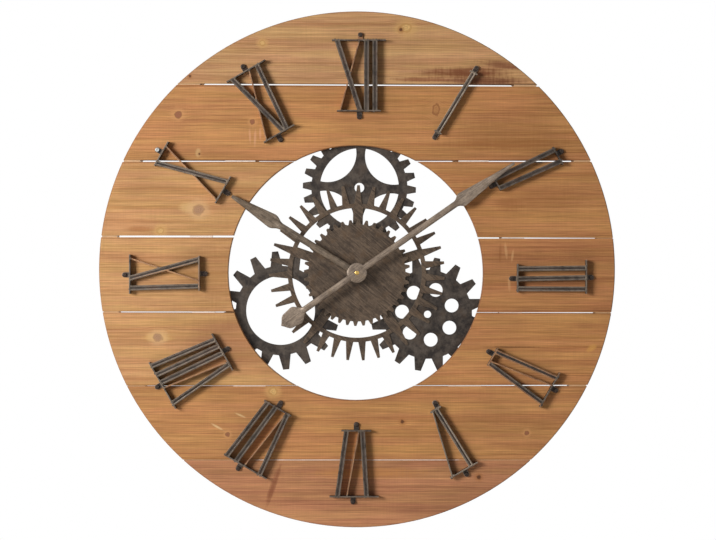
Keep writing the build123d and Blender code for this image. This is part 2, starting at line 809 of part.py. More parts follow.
def minute_nut():
    """Domed brass nut over the end of the minute arbor."""
    end = minute_hand_front + arbor_spare
    top = minute_hand_front + minute_nut_thickness
    solid = rod(0, 0, minute_hand_front, (end + minute_hand_front) / 2, minute_nut_radius)
    solid += cone(0, 0, (end + minute_hand_front) / 2, top, minute_nut_radius, minute_nut_radius / 2)
    return solid - rod(0, 0, minute_hand_front - overrun, end, minute_seat_radius)


def setting_wheel():
    """Wheel and pinion between the minute arbor and the hour wheel, on an arbor out to the knob."""
    phase = 270 + 180 / setting_wheel_teeth
    wheel = train_face(setting_wheel_teeth, train_module, phase)
    pinion = train_face(setting_pinion_teeth, hour_module, 270)
    solid = slab(Pos(0, train_centre) * wheel, setting_wheel_back, wheel_thickness)
    solid += slab(Pos(0, train_centre) * pinion, setting_wheel_front, pinion_thickness)
    front = case_front - case_wall / 2 - running_clearance
    solid += rod(0, train_centre, case_back - knob_gap - knob_thickness / 2, front, setting_arbor_radius)
    return solid


def setting_knob():
    """Fluted knob behind the cover that sets the hands."""
    flutes = 12
    flute_share = 0.12
    back = case_back - knob_gap - knob_thickness
    solid = rod(0, train_centre, back, case_back - knob_gap, knob_radius)
    for index in range(flutes):
        x, z = polar(knob_radius, 360 * index / flutes)
        solid -= rod(x, train_centre + z, back - overrun, case_back + overrun, flute_share * knob_radius)
    return solid - rod(0, train_centre, back + knob_thickness / 2, case_back, setting_arbor_radius)


battery_depth = case_front - case_wall - battery_gap - battery_radius


def along(start, length, radius):
    """Round bar along the battery's own direction, left to right."""
    shape = Cylinder(radius, length, align=(Align.CENTER, Align.CENTER, Align.MIN))
    return Pos(start, -battery_depth, bay_middle) * Rot(0, 90, 0) * shape


def battery():
    """Round cell lying across the foot of the movement."""
    end = case_size / 2 - case_wall - contact_thickness - battery_gap
    body_end = end - battery_button_length
    body = along(body_end - battery_length, battery_length, battery_radius)
    return body + along(body_end, battery_button_length, battery_button_radius)


def contact(side, bow):
    """Battery contact against one end wall of the bay, dished towards the cell by its bow."""
    wall = side * (case_size / 2 - case_wall)
    face = wall - side * contact_thickness
    low, high = sorted((wall, face))
    solid = box((low, high), (bay_middle - contact_width / 2, bay_middle + contact_width / 2),
                (battery_depth - contact_width / 2, battery_depth + contact_width / 2))
    if bow > 0:
        shape = Cone(contact_width / 2, contact_width / 4, bow, align=(Align.CENTER, Align.CENTER, Align.MIN))
        solid += Pos(face, -battery_depth, bay_middle) * Rot(0, -90 * side, 0) * shape
    return solid


def circuit_board():
    """Small printed board on two posts."""
    x, z = circuit_place()
    top = case_front - case_wall - board_post_height
    return slab(Pos(x, z) * Rectangle(circuit_width, circuit_height), top - circuit_thickness,
                circuit_thickness)


def quartz_crystal():
    """Crystal can lying on the circuit board."""
    x, z = circuit_place()
    depth = case_front - case_wall - board_post_height - circuit_thickness - crystal_radius
    can = Cylinder(crystal_radius, crystal_length)
    return Pos(x, -depth, z) * can


def motor_stator():
    """Stator plate of the stepping motor, on two posts."""
    x, z = stator_place()
    top = case_front - case_wall - board_post_height
    return slab(Pos(x, z) * Rectangle(stator_width, circuit_height), top - stator_thickness, stator_thickness)


def motor_coil():
    """Coil on its bobbin, lying on the stator."""
    x, z = stator_place()
    depth = case_front - case_wall - board_post_height - stator_thickness - bobbin_flange / 2
    solid = Cylinder(coil_radius, coil_length)
    for side in (-1, 1):
        flange = Box(bobbin_flange, bobbin_flange, bobbin_flange_thickness)
        solid += Pos(0, 0, side * (coil_length - bobbin_flange_thickness) / 2) * flange
    return Pos(x, -depth, z) * solid


def main():
    """Build and write every sub-part."""
    for node, solid in boards().items():
        save(node, solid)
    save("hoop_outer", hoop_outer().solids())
    save("hoop_inner", hoop_inner().solids())
    save("board_screws", board_screws())
    save("hanger_plate", hanger_plate())
    save("hanger_screws", hanger_screws())
    save("gear_top", gear_top())
    save("gear_left", gear_left())
    save("gear_right", gear_right())
    save("gear_screws", gear_screws())
    save("ring_gear", ring_gear())
    save("saw_disc", saw_disc())
    save("disc_spacer", pipe(0, 0, ring_gear_front, disc_back, bushing_radius + disc_spacer_wall,
                             bushing_radius))
    for hour in numeral_shares:
        save(f"numeral_{hour:02d}", numeral(hour))
    save("numeral_screws", numeral_screws())
    save("rubber_washer", pipe(0, 0, case_front, ring_gear_back, rubber_washer_radius, bushing_radius))
    save("brass_washer", pipe(0, 0, disc_front, washer_front, brass_washer_radius, bushing_radius))
    save("hex_nut", hex_nut())
    save("movement_case", movement_case())
    save("movement_cover", movement_cover())
    save("movement_bushing", movement_bushing())
    save("circuit_board", circuit_board())
    save("quartz_crystal", quartz_crystal())
    save("motor_stator", motor_stator())
    save("motor_coil", motor_coil())
    save("contact_plus", contact(1, 0))
    save("contact_minus", contact(-1, contact_bow))
    save("battery", battery())
    save("hour_wheel", hour_wheel())
    save("hour_hand", hour_hand())
    save("minute_arbor", minute_arbor())
    save("minute_hand", minute_hand())
    save("minute_nut", minute_nut())
    save("setting_wheel", setting_wheel())
    save("setting_knob", setting_knob())


main()
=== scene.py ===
"""Looks of the large gear wall clock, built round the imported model.

Metres, in the row frame: X runs to the viewer's right, Z up, and the front faces -Y. A depth is a
distance out from the wall, towards the front, so a depth d lies at y = -d.
"""

import logging
import math
import random
from dataclasses import dataclass
from enum import Enum

import bmesh
import bpy
from mathutils import Matrix, Vector


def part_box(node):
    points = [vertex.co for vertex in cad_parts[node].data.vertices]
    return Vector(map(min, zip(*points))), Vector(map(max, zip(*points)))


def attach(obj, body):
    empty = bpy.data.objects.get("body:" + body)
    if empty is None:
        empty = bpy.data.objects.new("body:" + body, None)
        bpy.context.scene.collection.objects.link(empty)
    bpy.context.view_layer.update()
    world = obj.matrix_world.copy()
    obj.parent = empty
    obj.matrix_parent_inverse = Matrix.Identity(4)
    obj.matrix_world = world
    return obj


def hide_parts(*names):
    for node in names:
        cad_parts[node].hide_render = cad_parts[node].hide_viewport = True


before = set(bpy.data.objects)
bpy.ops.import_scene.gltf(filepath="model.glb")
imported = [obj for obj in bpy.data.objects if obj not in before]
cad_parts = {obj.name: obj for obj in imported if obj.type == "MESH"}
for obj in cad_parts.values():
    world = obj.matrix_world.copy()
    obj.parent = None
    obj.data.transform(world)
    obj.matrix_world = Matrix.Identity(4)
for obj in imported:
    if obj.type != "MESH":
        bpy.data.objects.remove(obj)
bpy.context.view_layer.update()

log = logging.getLogger("clock")

Colour = tuple[float, float, float, float]
Point = tuple[float, float]

BODY_DIAL = "dial"
RIM_RISE = 0.0055  # centre of the rim and of the numerals, above the hands' axis
OPENING_SHIFT = -0.002  # centre of the round opening, beside the hands' axis
HOUR_STEP = math.radians(30)


def paint(code: str) -> Colour:
    """Linear colour of a screen colour.

    Args:
        code: Its six digits.

    Returns:
        Red, green, blue and a share of 1.
    """
    shares = [int(code[place:place + 2], 16) / 255 for place in (0, 2, 4)]
    red, green, blue = (s / 12.92 if s <= 0.04045 else ((s + 0.055) / 1.055) ** 2.4 for s in shares)
    return red, green, blue, 1.0


def polar(radius: float, angle: float) -> Point:
    """Point at a distance and an angle in radians, anticlockwise from the right."""
    return radius * math.cos(angle), radius * math.sin(angle)


# ---------------------------------------------------------------------------------------------
# Finishes
# ---------------------------------------------------------------------------------------------
@dataclass(frozen=True)
class Grain:
    """Kind of noise: lumps to a metre along X, Y and Z, its finer layers, their strength, bend and origin."""

    scale: tuple[float, float, float]
    detail: float = 2.0
    rough: float = 0.5
    bend: float = 0.0
    shift: tuple[float, float, float] = (0.0, 0.0, 0.0)


class Graph:
    """Node tree of one material, with short calls for the nodes that the finishes share."""

    def __init__(self, name: str) -> None:
        """Start a material with its shader and its coordinates.

        Args:
            name: The material's name.
        """
        self.material = bpy.data.materials.new(name)
        self.material.use_nodes = True
        self.nodes = self.material.node_tree.nodes
        self.links = self.material.node_tree.links
        self.shader = self.nodes["Principled BSDF"]
        self.source = self.nodes.new("ShaderNodeTexCoord")
        split = self.add("ShaderNodeSeparateXYZ", {0: self.source.outputs["Object"]})
        self.x, self.y, self.z = split.outputs

    def feed(self, socket: bpy.types.NodeSocket, value: object) -> None:
        """Link a socket to another, or set its own value.

        Args:
            socket: The input socket.
            value: An output socket, a number, a vector, a colour or a colour's six digits.
        """
        if isinstance(value, bpy.types.NodeSocket):
            self.links.new(value, socket)
        else:
            socket.default_value = paint(value) if isinstance(value, str) else value

    def add(self, kind: str, inputs: dict, **settings: object) -> bpy.types.Node:
        """Add a node.

        Args:
            kind: Blender's name of the node's type.
            inputs: Values or sockets by the input's name or number.
            **settings: The node's own settings.

        Returns:
            The new node.
        """
        node = self.nodes.new(kind)
        for key, value in settings.items():
            setattr(node, key, value)
        for key, value in inputs.items():
            self.feed(node.inputs[key], value)
        return node

    def coords(self, scale: tuple, turn: float = 0.0, shift: tuple = (0.0, 0.0, 0.0)) -> bpy.types.NodeSocket:
        """Row-frame coordinates, shifted, turned in the dial's plane and then scaled.

        Args:
            scale: How many units a metre takes along each direction.
            turn: Angle about Y in radians.
            shift: Place of the new origin.

        Returns:
            The vector socket.
        """
        share = tuple(1 / size for size in scale)
        return self.add("ShaderNodeMapping", {"Vector": self.source.outputs["Object"], "Location": shift,
                                              "Rotation": (0, turn, 0), "Scale": share},
                        vector_type="TEXTURE").outputs[0]

    def noise(self, vector: bpy.types.NodeSocket, detail: float = 2.0, rough: float = 0.5,
              bend: float = 0.0) -> bpy.types.NodeSocket:
        """Soft noise between 0 and 1 at coordinates that have one unit to a lump."""
        return self.add("ShaderNodeTexNoise", {"Vector": vector, "Scale": 1.0, "Detail": detail,
                                               "Roughness": rough, "Distortion": bend}).outputs[0]

    def grain(self, kind: Grain, turn: float = 0.0, shift: tuple | None = None) -> bpy.types.NodeSocket:
        """Noise of one kind in the row frame, turned about Y, and from another origin where one is given."""
        vector = self.coords(kind.scale, turn, shift or kind.shift)
        return self.noise(vector, kind.detail, kind.rough, kind.bend)

    def spots(self, vector: bpy.types.NodeSocket) -> bpy.types.NodeSocket:
        """Distance to the nearest of many scattered points, one unit apart."""
        return self.add("ShaderNodeTexVoronoi", {"Vector": vector, "Scale": 1.0}).outputs["Distance"]

    def math(self, operation: str, *values: object, clamp: bool = False) -> bpy.types.NodeSocket:
        """Arithmetic on one to three numbers or sockets, kept between 0 and 1 where it is clamped."""
        return self.add("ShaderNodeMath", dict(enumerate(values)), operation=operation,
                        use_clamp=clamp).outputs[0]

    def square(self, first: object, second: object) -> bpy.types.NodeSocket:
        """Sum of the squares of two values."""
        return self.math("ADD", self.math("POWER", first, 2.0), self.math("POWER", second, 2.0))

    def remap(self, value: object, low: float, high: float, to_low: float = 0.0,
              to_high: float = 1.0) -> bpy.types.NodeSocket:
        """Smooth step of a value, from to_low where it is low to to_high where it is high."""
        return self.add("ShaderNodeMapRange", {0: value, 1: low, 2: high, 3: to_low, 4: to_high},
                        interpolation_type="SMOOTHSTEP").outputs[0]

    def ramp(self, value: bpy.types.NodeSocket, stops: list) -> bpy.types.NodeSocket:
        """Colour from a value, through stops.

        Args:
            value: The value socket.
            stops: Pairs of a place from 0 to 1 and a colour.

        Returns:
            The colour socket.
        """
        node = self.add("ShaderNodeValToRGB", {0: value})
        elements = node.color_ramp.elements
        while len(elements) < len(stops):
            elements.new(0.5)
        for element, (place, colour) in zip(elements, stops):
            element.position, element.color = place, colour
        return node.outputs[0]

    def mix(self, share: object, first: object, second: object, blend: str = "MIX") -> bpy.types.NodeSocket:
        """Mix of two colours, with a share of the second, in the way that Blender calls blend."""
        return self.add("ShaderNodeMix", {0: share, 6: first, 7: second}, data_type="RGBA",
                        blend_type=blend, clamp_factor=True).outputs[2]

    def shade(self, colour: object, value: bpy.types.NodeSocket, low: float,
              high: float) -> bpy.types.NodeSocket:
        """Make a colour darker or lighter as a value goes from 0 to 1.

        Args:
            colour: Colour or socket.
            value: The value socket.
            low: Brightness at 0.
            high: Brightness at 1.

        Returns:
            The colour socket.
        """
        level = self.add("ShaderNodeMapRange", {0: value, 3: low, 4: high}).outputs[0]
        grey = self.add("ShaderNodeCombineColor", {0: level, 1: level, 2: level}).outputs[0]
        return self.mix(1.0, colour, grey, "MULTIPLY")

    def facing(self, axis: int) -> bpy.types.NodeSocket:
        """How far a face turns towards +X, +Y or +Z of its own mesh, from -1 to 1."""
        return self.add("ShaderNodeSeparateXYZ", {0: self.source.outputs["Normal"]}).outputs[axis]

    def wear(self) -> bpy.types.NodeSocket:
        """The mesh's own mark of rubbed edges, from 0 to 1."""
        return self.add("ShaderNodeAttribute", {}, attribute_name="wear").outputs["Fac"]

    def border(self, width: float) -> bpy.types.NodeSocket:
        """How near a sharp edge is, from 0 on the flats to 1 on the edge.

        Args:
            width: How far it reaches from the edge, in metres.

        Returns:
            The value socket.
        """
        bent = self.add("ShaderNodeBevel", {"Radius": width}, samples=6).outputs[0]
        flat = self.add("ShaderNodeNewGeometry", {}).outputs["Normal"]
        same = self.add("ShaderNodeVectorMath", {0: bent, 1: flat}, operation="DOT_PRODUCT")
        return self.remap(same.outputs["Value"], 0.995, 0.85)

    def finish(self, colour: object, rough: object, height: object = None, relief: float = 0.0,
               **uniform: float) -> bpy.types.Material:
        """Plug the finish into the shader.

        Args:
            colour: Colour or socket of the surface.
            rough: Roughness or its socket.
            height: Socket of the bump's height, from 0 to 1.
            relief: How deep the bump is, in metres.
            **uniform: Values for the shader's own sockets, with underscores for spaces.

        Returns:
            The material.
        """
        self.feed(self.shader.inputs["Base Color"], colour)
        self.feed(self.shader.inputs["Roughness"], rough)
        for name, value in uniform.items():
            self.shader.inputs[name.replace("_", " ")].default_value = value
        if height is not None:
            bump = self.add("ShaderNodeBump", {"Height": height, "Distance": relief})
            self.feed(self.shader.inputs["Normal"], bump.outputs[0])
        return self.material


@dataclass(frozen=True)
class Finish:
    """Base of the finishes. Each makes its material once."""

    name: str

    def material(self) -> bpy.types.Material:
        """The finish's material, made at its first use."""
        title = f"{self.name}_finish"  # the plain CAD materials already have the slots' names
        return bpy.data.materials.get(title) or self.build(Graph(title))

    def build(self, graph: Graph) -> bpy.types.Material:
        """Make the material; each finish has its own way."""
        raise NotImplementedError


class Tone(Enum):
    """Stains of the pine: the pale early wood and the dark late wood of a board."""

    PALE = ("D7A97A", "A5764B")
    HONEY = ("D6A572", "AC7948")
    GOLDEN = ("CF9762", "A16B3E")
    RUSSET = ("C98F5E", "99633B")
    MAUVE = ("CB9268", "996546")


class Mark(Enum):
    """Marks in the pine: the colour of its heart, of its ring and of the wood round it."""

    PALE_KNOT = ("E2BA78", "BE8A4E", "DCAE6C")
    BROWN_KNOT = ("9A6248", "6E3A26", "D89E68")
    GREY_KNOT = ("AE8668", "A87C58", "E2B886")
    RING_KNOT = ("C28A54", "7E4428", "C48C58")
    PIN = ("4A2A18", "6A3C20", "A86C3C")


@dataclass(frozen=True)
class Knot:
    """One knot: its place on the dial, its size and its kind."""

    x: float
    z: float
    radius: float
    mark: Mark
    squash: float = 1.0


@dataclass(frozen=True)
class Streak:
    """One long stain in the grain."""

    x: float
    z: float
    length: float
    height: float
    colour: str
    strength: float = 0.7
    turn: float = 0.0


@dataclass(frozen=True)
class PineFinish(Finish):
    """Stained, waxed pine of one board, with its own grain, knots and stains."""

    tone: Tone
    seed: float
    pith: float
    depth: float
    slope: float = 0.0
    knots: tuple[Knot, ...] = ()
    streaks: tuple[Streak, ...] = ()
    spacing: float = 0.0024
    levels: tuple = ((0.0, 0.25), (0.35, 0.0), (0.86, 1.0), (0.97, 0.25))
    unevenness: float = 1.6
    sway: Grain = Grain((2.6, 2.6, 6), 1)
    sway_height: float = 0.024
    ripple: Grain = Grain((11, 11, 90))
    ripple_height: float = 0.0022
    mean_height: float = 0.013
    knot_base: float = 2.718
    knot_fall: float = 0.16
    knot_pull: float = 0.85
    knot_lumps: float = 0.9
    knot_ragged: float = 1.2
    knot_ring: float = 0.17
    knot_layers: tuple = ((2.7, 1.1, 0.5), (1.2, 0.9, 0.6), (0.9, 0.6, 0.7))
    ring_share: float = 0.3
    thread: Grain = Grain((4, 260, 420), 4, 0.7)
    thread_share: float = 0.4
    band: Grain = Grain((1.3, 30, 44), 3, 0.6)
    band_share: float = 0.3
    fibre: Grain = Grain((20, 700, 1100), 3, 0.7)
    fibre_spread: float = 0.16
    cloud: Grain = Grain((9, 9, 16), 3, 0.6)
    cloud_spread: float = 0.09
    chatter: Grain = Grain((560, 560, 22), 1)
    chatter_spread: float = 0.025
    blush: Grain = Grain((5, 30, 60), 4, 0.65)
    rosy: Colour = (1.0, 0.92, 0.93, 1.0)
    sallow: Colour = (1.03, 1.06, 0.94, 1.0)
    torn: Grain = Grain((26, 26, 260), 3, 0.7)
    torn_share: float = 1.2
    planed: Grain = Grain((300, 300, 30), 1)
    planed_share: float = 0.5
    # The sides take the darker sawn colour and the rounded edges the darker worn colour: partly stain and wear,
    # partly painted shade along the edges.
    sawn: str = "7A4A2C"
    rear: str = "D0A878"
    worn: str = "6A3E24"
    worn_share: float = 0.6
    relief: float = 0.0002
    gloss: float = 0.28

    def knot_distance(self, graph: Graph, knot: Knot) -> bpy.types.NodeSocket:
        """Distance from a knot's middle, in radii.

        Args:
            graph: The node tree.
            knot: The knot.

        Returns:
            The value socket.
        """
        across = graph.math("MULTIPLY", graph.math("SUBTRACT", graph.x, knot.x), 1 / knot.radius)
        up = graph.math("MULTIPLY", graph.math("SUBTRACT", graph.z, knot.z), knot.squash / knot.radius)
        return graph.math("SQRT", graph.square(across, up))

    def rings(self, graph: Graph, distances: list) -> tuple[bpy.types.NodeSocket, bpy.types.NodeSocket]:
        """Growth rings that run along X and bend round the knots, dark at 1.

        Args:
            graph: The node tree.
            distances: Socket of each knot's distance.

        Returns:
            The socket of the rings, and that of a value that differs from ring to ring.
        """
        shift = (self.seed, self.seed * 0.7, self.seed * 1.3)
        place = graph.math("MULTIPLY_ADD", graph.grain(self.sway, shift=shift), self.sway_height, graph.z)
        place = graph.math("MULTIPLY_ADD", graph.grain(self.ripple, shift=shift), self.ripple_height, place)
        place = graph.math("MULTIPLY_ADD", graph.x, self.slope, place)
        place = graph.math("SUBTRACT", place, self.pith + self.mean_height)
        for knot, distance in zip(self.knots, distances):
            square = graph.math("MULTIPLY", graph.math("POWER", distance, 2.0), -self.knot_fall)
            fall = graph.math("POWER", self.knot_base, square)
            above = graph.math("SUBTRACT", graph.z, knot.z)
            pull = graph.math("MULTIPLY", graph.math("MULTIPLY", above, fall), -self.knot_pull)
            place = graph.math("ADD", place, pull)
        behind = graph.math("ADD", graph.y, self.depth)
        radius = graph.math("SQRT", graph.square(place, behind))
        turns = graph.math("MULTIPLY", radius, 1 / self.spacing)
        uneven = graph.noise(graph.add("ShaderNodeCombineXYZ", {0: turns, 1: self.seed}).outputs[0])
        turns = graph.math("MULTIPLY_ADD", uneven, self.unevenness, turns)
        stops = [(place, (level, level, level, 1.0)) for place, level in self.levels]
        return graph.ramp(graph.math("FRACT", turns), stops), uneven

    def build(self, graph: Graph) -> bpy.types.Material:
        """Grain, fibres, saw marks, knots, stains, and darker sides and rounded edges, partly stain and wear
        and partly painted shade.

        Args:
            graph: The node tree.

        Returns:
            The material.
        """
        light, dark = self.tone.value
        shift = (self.seed * 1.7, 0, self.seed)
        distances = [self.knot_distance(graph, knot) for knot in self.knots]
        ring, uneven = self.rings(graph, distances)
        kinds = (self.thread, self.band, self.fibre, self.cloud, self.chatter, self.blush)
        thread, band, fibre, cloud, chatter, blush = (graph.grain(kind, shift=shift) for kind in kinds)
        late = graph.math("MULTIPLY", ring, graph.remap(uneven, 0.3, 0.7, 0.3, 1.0))
        share = graph.math("MULTIPLY", late, self.ring_share)
        share = graph.math("MULTIPLY_ADD", graph.remap(thread, 0.42, 0.6), self.thread_share, share)
        share = graph.math("MULTIPLY_ADD", graph.remap(band, 0.38, 0.64), self.band_share, share, clamp=True)
        tint = graph.mix(graph.remap(blush, 0.36, 0.64), self.rosy, self.sallow)
        colour = graph.mix(1.0, graph.mix(share, light, dark), tint, "MULTIPLY")
        spreads = ((fibre, self.fibre_spread), (cloud, self.cloud_spread), (chatter, self.chatter_spread))
        for value, spread in spreads:
            colour = graph.shade(colour, graph.remap(value, 0.3, 0.7), 1 - spread, 1 + spread)
        for streak in self.streaks:
            colour = self.stained(graph, colour, streak)
        for knot, distance in zip(self.knots, distances):
            colour = self.knotted(graph, colour, knot, distance)
        # Darker sides and rounded edges: partly stain and wear, partly painted shade.
        front = graph.math("MULTIPLY", graph.facing(1), -1.0)
        colour = graph.mix(graph.remap(front, 0.95, 0.6, 0.0, 0.55), colour, self.sawn)
        colour = graph.mix(graph.remap(front, -0.6, -0.9, 0.0, 0.5), colour, self.rear)
        colour = graph.mix(graph.math("MULTIPLY", graph.wear(), self.worn_share), colour, self.worn)
        height = graph.math("MULTIPLY_ADD", fibre, 0.5, graph.math("MULTIPLY", ring, 0.5))
        rough = graph.remap(thread, 0.2, 0.8, 0.5, 0.66)
        return graph.finish(colour, rough, height, self.relief, Specular_IOR_Level=self.gloss)

    def stained(self, graph: Graph, colour: bpy.types.NodeSocket, streak: Streak) -> bpy.types.NodeSocket:
        """Lay one long stain over the wood.

        Args:
            graph: The node tree.
            colour: Socket of the wood's colour.
            streak: The stain.

        Returns:
            The colour socket.
        """
        spot = (streak.x, 0, streak.z)
        place = graph.coords((1 / streak.length, 1, 1 / streak.height), streak.turn, spot)
        across, _, up = graph.add("ShaderNodeSeparateXYZ", {0: place}).outputs
        torn = graph.grain(self.torn, streak.turn, spot)
        planed = graph.grain(self.planed, streak.turn, spot)
        edge = graph.math("MULTIPLY_ADD", torn, self.torn_share, graph.square(across, up))
        edge = graph.math("MULTIPLY_ADD", planed, self.planed_share, edge)
        share = graph.remap(edge, 1.75, 0.75, 0.0, streak.strength)
        return graph.mix(share, colour, streak.colour)

    def knotted(self, graph: Graph, colour: bpy.types.NodeSocket, knot: Knot,
                distance: bpy.types.NodeSocket) -> bpy.types.NodeSocket:
        """Paint one knot: the wood round it, its ring and its heart.

        Args:
            graph: The node tree.
            colour: Socket of the wood's colour.
            knot: The knot.
            distance: Socket of the distance from it, in radii.

        Returns:
            The colour socket.
        """
        heart, ring, halo = knot.mark.value
        lump = self.knot_lumps / knot.radius
        ragged = graph.grain(Grain((lump, lump, lump), 3, 0.65))
        near = graph.math("SUBTRACT", distance, self.knot_ragged / 2)
        near = graph.math("MULTIPLY_ADD", ragged, self.knot_ragged, near)
        inner = graph.remap(graph.math("PINGPONG", near, self.knot_ring), 0.0, self.knot_ring)
        core = graph.shade(heart, inner, 0.8, 1.15)
        for (start, end, share), layer in zip(self.knot_layers, (halo, ring, core)):
            colour = graph.mix(graph.remap(near, start, end, 0.0, share), colour, layer)
        return colour


@dataclass(frozen=True)
class PlywoodFinish(Finish):
    """Birch plywood: veneer on its two faces, and layers on its sawn edges."""

    layers: int = 13
    thickness: float = 0.022
    streak: Grain = Grain((60, 900, 60), 3, 0.7)
    veneer: Grain = Grain((12, 12, 420), 4, 0.7)
    edge_colours: tuple[str, str] = ("D8B48C", "9E7448")
    face_colours: tuple[str, str] = ("F6E0CC", "E2BF9E")

    def build(self, graph: Graph) -> bpy.types.Material:
        """Layers by depth on the edges, and a long-grained veneer on the faces.

        Args:
            graph: The node tree.

        Returns:
            The material.
        """
        turns = graph.math("MULTIPLY", graph.y, self.layers / (2 * self.thickness))
        layer = graph.remap(graph.math("FRACT", turns), 0.46, 0.54)
        streak = graph.grain(self.streak)
        edge = graph.shade(graph.mix(layer, *self.edge_colours), streak, 0.8, 1.2)
        face = graph.mix(graph.remap(graph.grain(self.veneer), 0.3, 0.7), *self.face_colours)
        flat = graph.math("ABSOLUTE", graph.facing(1))
        colour = graph.mix(graph.remap(flat, 0.6, 0.8), edge, face)
        return graph.finish(colour, rough=0.7, height=streak, relief=0.0002, Specular_IOR_Level=0.25)


@dataclass(frozen=True)
class IronFinish(Finish):
    """Blackened, waxed and rubbed iron: mottled patina, brushed lines, traces of rust and worn edges, with
    painted shade on its edges and side faces.
    """

    dark: str
    light: str
    rust: str
    worn: str
    # Faces turned away from the front take the side colour: partly the oxide's own darker rust-brown, partly
    # painted shade of the side walls.
    side: str
    brush_turn: float = 0.0
    brush: float = 0.5
    rough: float = 0.5
    worn_share: float = 0.7
    # The rim colour and the two values under it paint shade: a dark band along every sharp edge, where the side
    # walls fall into shade.
    rim: str = "1E1A18"
    edge_shade_share: float = 0.5
    edge_shade_width: float = 0.0014
    # The foremost faces, from this depth on, take the pale worn colour: rubbed metal, and partly a painted
    # highlight that makes the rims read lighter than the shaded groove between them.
    rub_and_sheen_depth: float = 1.0
    rub_and_sheen_share: float = 0.55
    rub_and_sheen_blur: float = 0.0003
    cloud: Grain = Grain((30, 30, 30), 4, 0.65, 0.8)
    cloud_share: float = 0.55
    patch: Grain = Grain((120, 120, 120), 3, 0.65, shift=(5, 2, 7))
    grit: Grain = Grain((560, 560, 560), 3, 0.75)
    lines: Grain = Grain((45, 900, 620), 3, 0.7)
    bloom: Grain = Grain((60, 60, 60), 3, 0.6, shift=(3, 1, 2))
    bloom_share: float = 0.5
    # Share of the side colour on the side faces: painted shade, partly real oxide.
    side_shade_share: float = 0.8
    relief: float = 0.00018
    metal: float = 0.35
    gloss: float = 0.35

    def build(self, graph: Graph) -> bpy.types.Material:
        """Patina in lumps of three sizes, crossed by brushed lines, with painted shade along the sharp edges
        and on the side faces.

        Args:
            graph: The node tree.

        Returns:
            The material.
        """
        kinds = (self.cloud, self.patch, self.grit, self.bloom)
        cloud, patch, grit, bloom = (graph.grain(kind) for kind in kinds)
        lines = graph.grain(self.lines, self.brush_turn)
        small = graph.math("MULTIPLY", patch, 1 - self.cloud_share)
        mottle = graph.math("MULTIPLY_ADD", cloud, self.cloud_share, small)
        share = graph.math("MULTIPLY_ADD", lines, self.brush, graph.math("MULTIPLY", mottle, 1 - self.brush))
        colour = graph.mix(graph.remap(share, 0.38, 0.62), self.dark, self.light)
        colour = graph.mix(graph.remap(bloom, 0.52, 0.68, 0.0, self.bloom_share), colour, self.rust)
        colour = graph.shade(colour, graph.remap(grit, 0.25, 0.75), 0.8, 1.2)
        # Painted shade: a dark band of the rim colour along the sharp edges.
        rim = graph.math("MULTIPLY", graph.border(self.edge_shade_width), self.edge_shade_share)
        colour = graph.mix(rim, colour, self.rim)
        # Pale worn colour on the foremost faces: rubbed metal, and partly a painted highlight on the rims.
        depth = graph.math("MULTIPLY", graph.y, -1.0)
        front_rub_and_sheen = graph.remap(depth, self.rub_and_sheen_depth, self.rub_and_sheen_depth + self.rub_and_sheen_blur, 0.0, self.rub_and_sheen_share)
        colour = graph.mix(graph.math("MULTIPLY", front_rub_and_sheen, graph.remap(patch, 0.3, 0.55)), colour, self.worn)
        # Painted shade on faces turned away from the front, mixed with the oxide's darker rust-brown.
        front = graph.math("ABSOLUTE", graph.facing(1))
        colour = graph.mix(graph.remap(front, 0.5, 0.1, 0.0, self.side_shade_share), colour, self.side)
        rub = graph.math("MULTIPLY", graph.wear(), graph.remap(bloom, 0.25, 0.55, 0.35, 1.0))
        colour = graph.mix(graph.math("MULTIPLY", rub, self.worn_share), colour, self.worn)
        rough = graph.math("MULTIPLY_ADD", grit, 0.22, self.rough - 0.1)
        height = graph.math("MULTIPLY_ADD", grit, 0.6, graph.math("MULTIPLY", lines, 0.4))
        return graph.finish(colour, rough, height, self.relief, Metallic=self.metal,
                            Specular_IOR_Level=self.gloss)


@dataclass(frozen=True)
class PlatedFinish(Finish):
    """Bare or plated metal with fine lines in it: brass, zinc, nickel or copper."""

    bright: str
    dull: str
    rough: float = 0.3
    metal: float = 1.0
    lines: Grain = Grain((900, 90, 900), 2, 0.6)
    tarnish: Grain = Grain((160, 160, 160), 3, 0.6, shift=(1, 2, 3))

    def build(self, graph: Graph) -> bpy.types.Material:
        """Fine turned lines and light tarnish.

        Args:
            graph: The node tree.

        Returns:
            The material.
        """
        lines = graph.grain(self.lines)
        colour = graph.mix(graph.remap(graph.grain(self.tarnish), 0.35, 0.75), self.bright, self.dull)
        rough = graph.math("MULTIPLY_ADD", lines, 0.2, self.rough - 0.1)
        return graph.finish(colour, rough, height=lines, relief=0.00004, Metallic=self.metal)


@dataclass(frozen=True)
class PlasticFinish(Finish):
    """Moulded plastic with a fine spark-eroded skin."""

    colour: str
    rough: float = 0.45
    pebble: float = 0.0006
    flow: Grain = Grain((40, 40, 90), 3)

    def build(self, graph: Graph) -> bpy.types.Material:
        """Pebbled skin and faint flow marks.

        Args:
            graph: The node tree.

        Returns:
            The material.
        """
        size = 1 / self.pebble
        pebble = graph.spots(graph.coords((size, size, size)))
        flow = graph.grain(self.flow)
        colour = graph.shade(self.colour, flow, 0.8, 1.2)
        rough = graph.remap(flow, 0.2, 0.8, self.rough - 0.06, self.rough + 0.1)
        return graph.finish(colour, rough, height=pebble, relief=0.00005, Specular_IOR_Level=0.4)


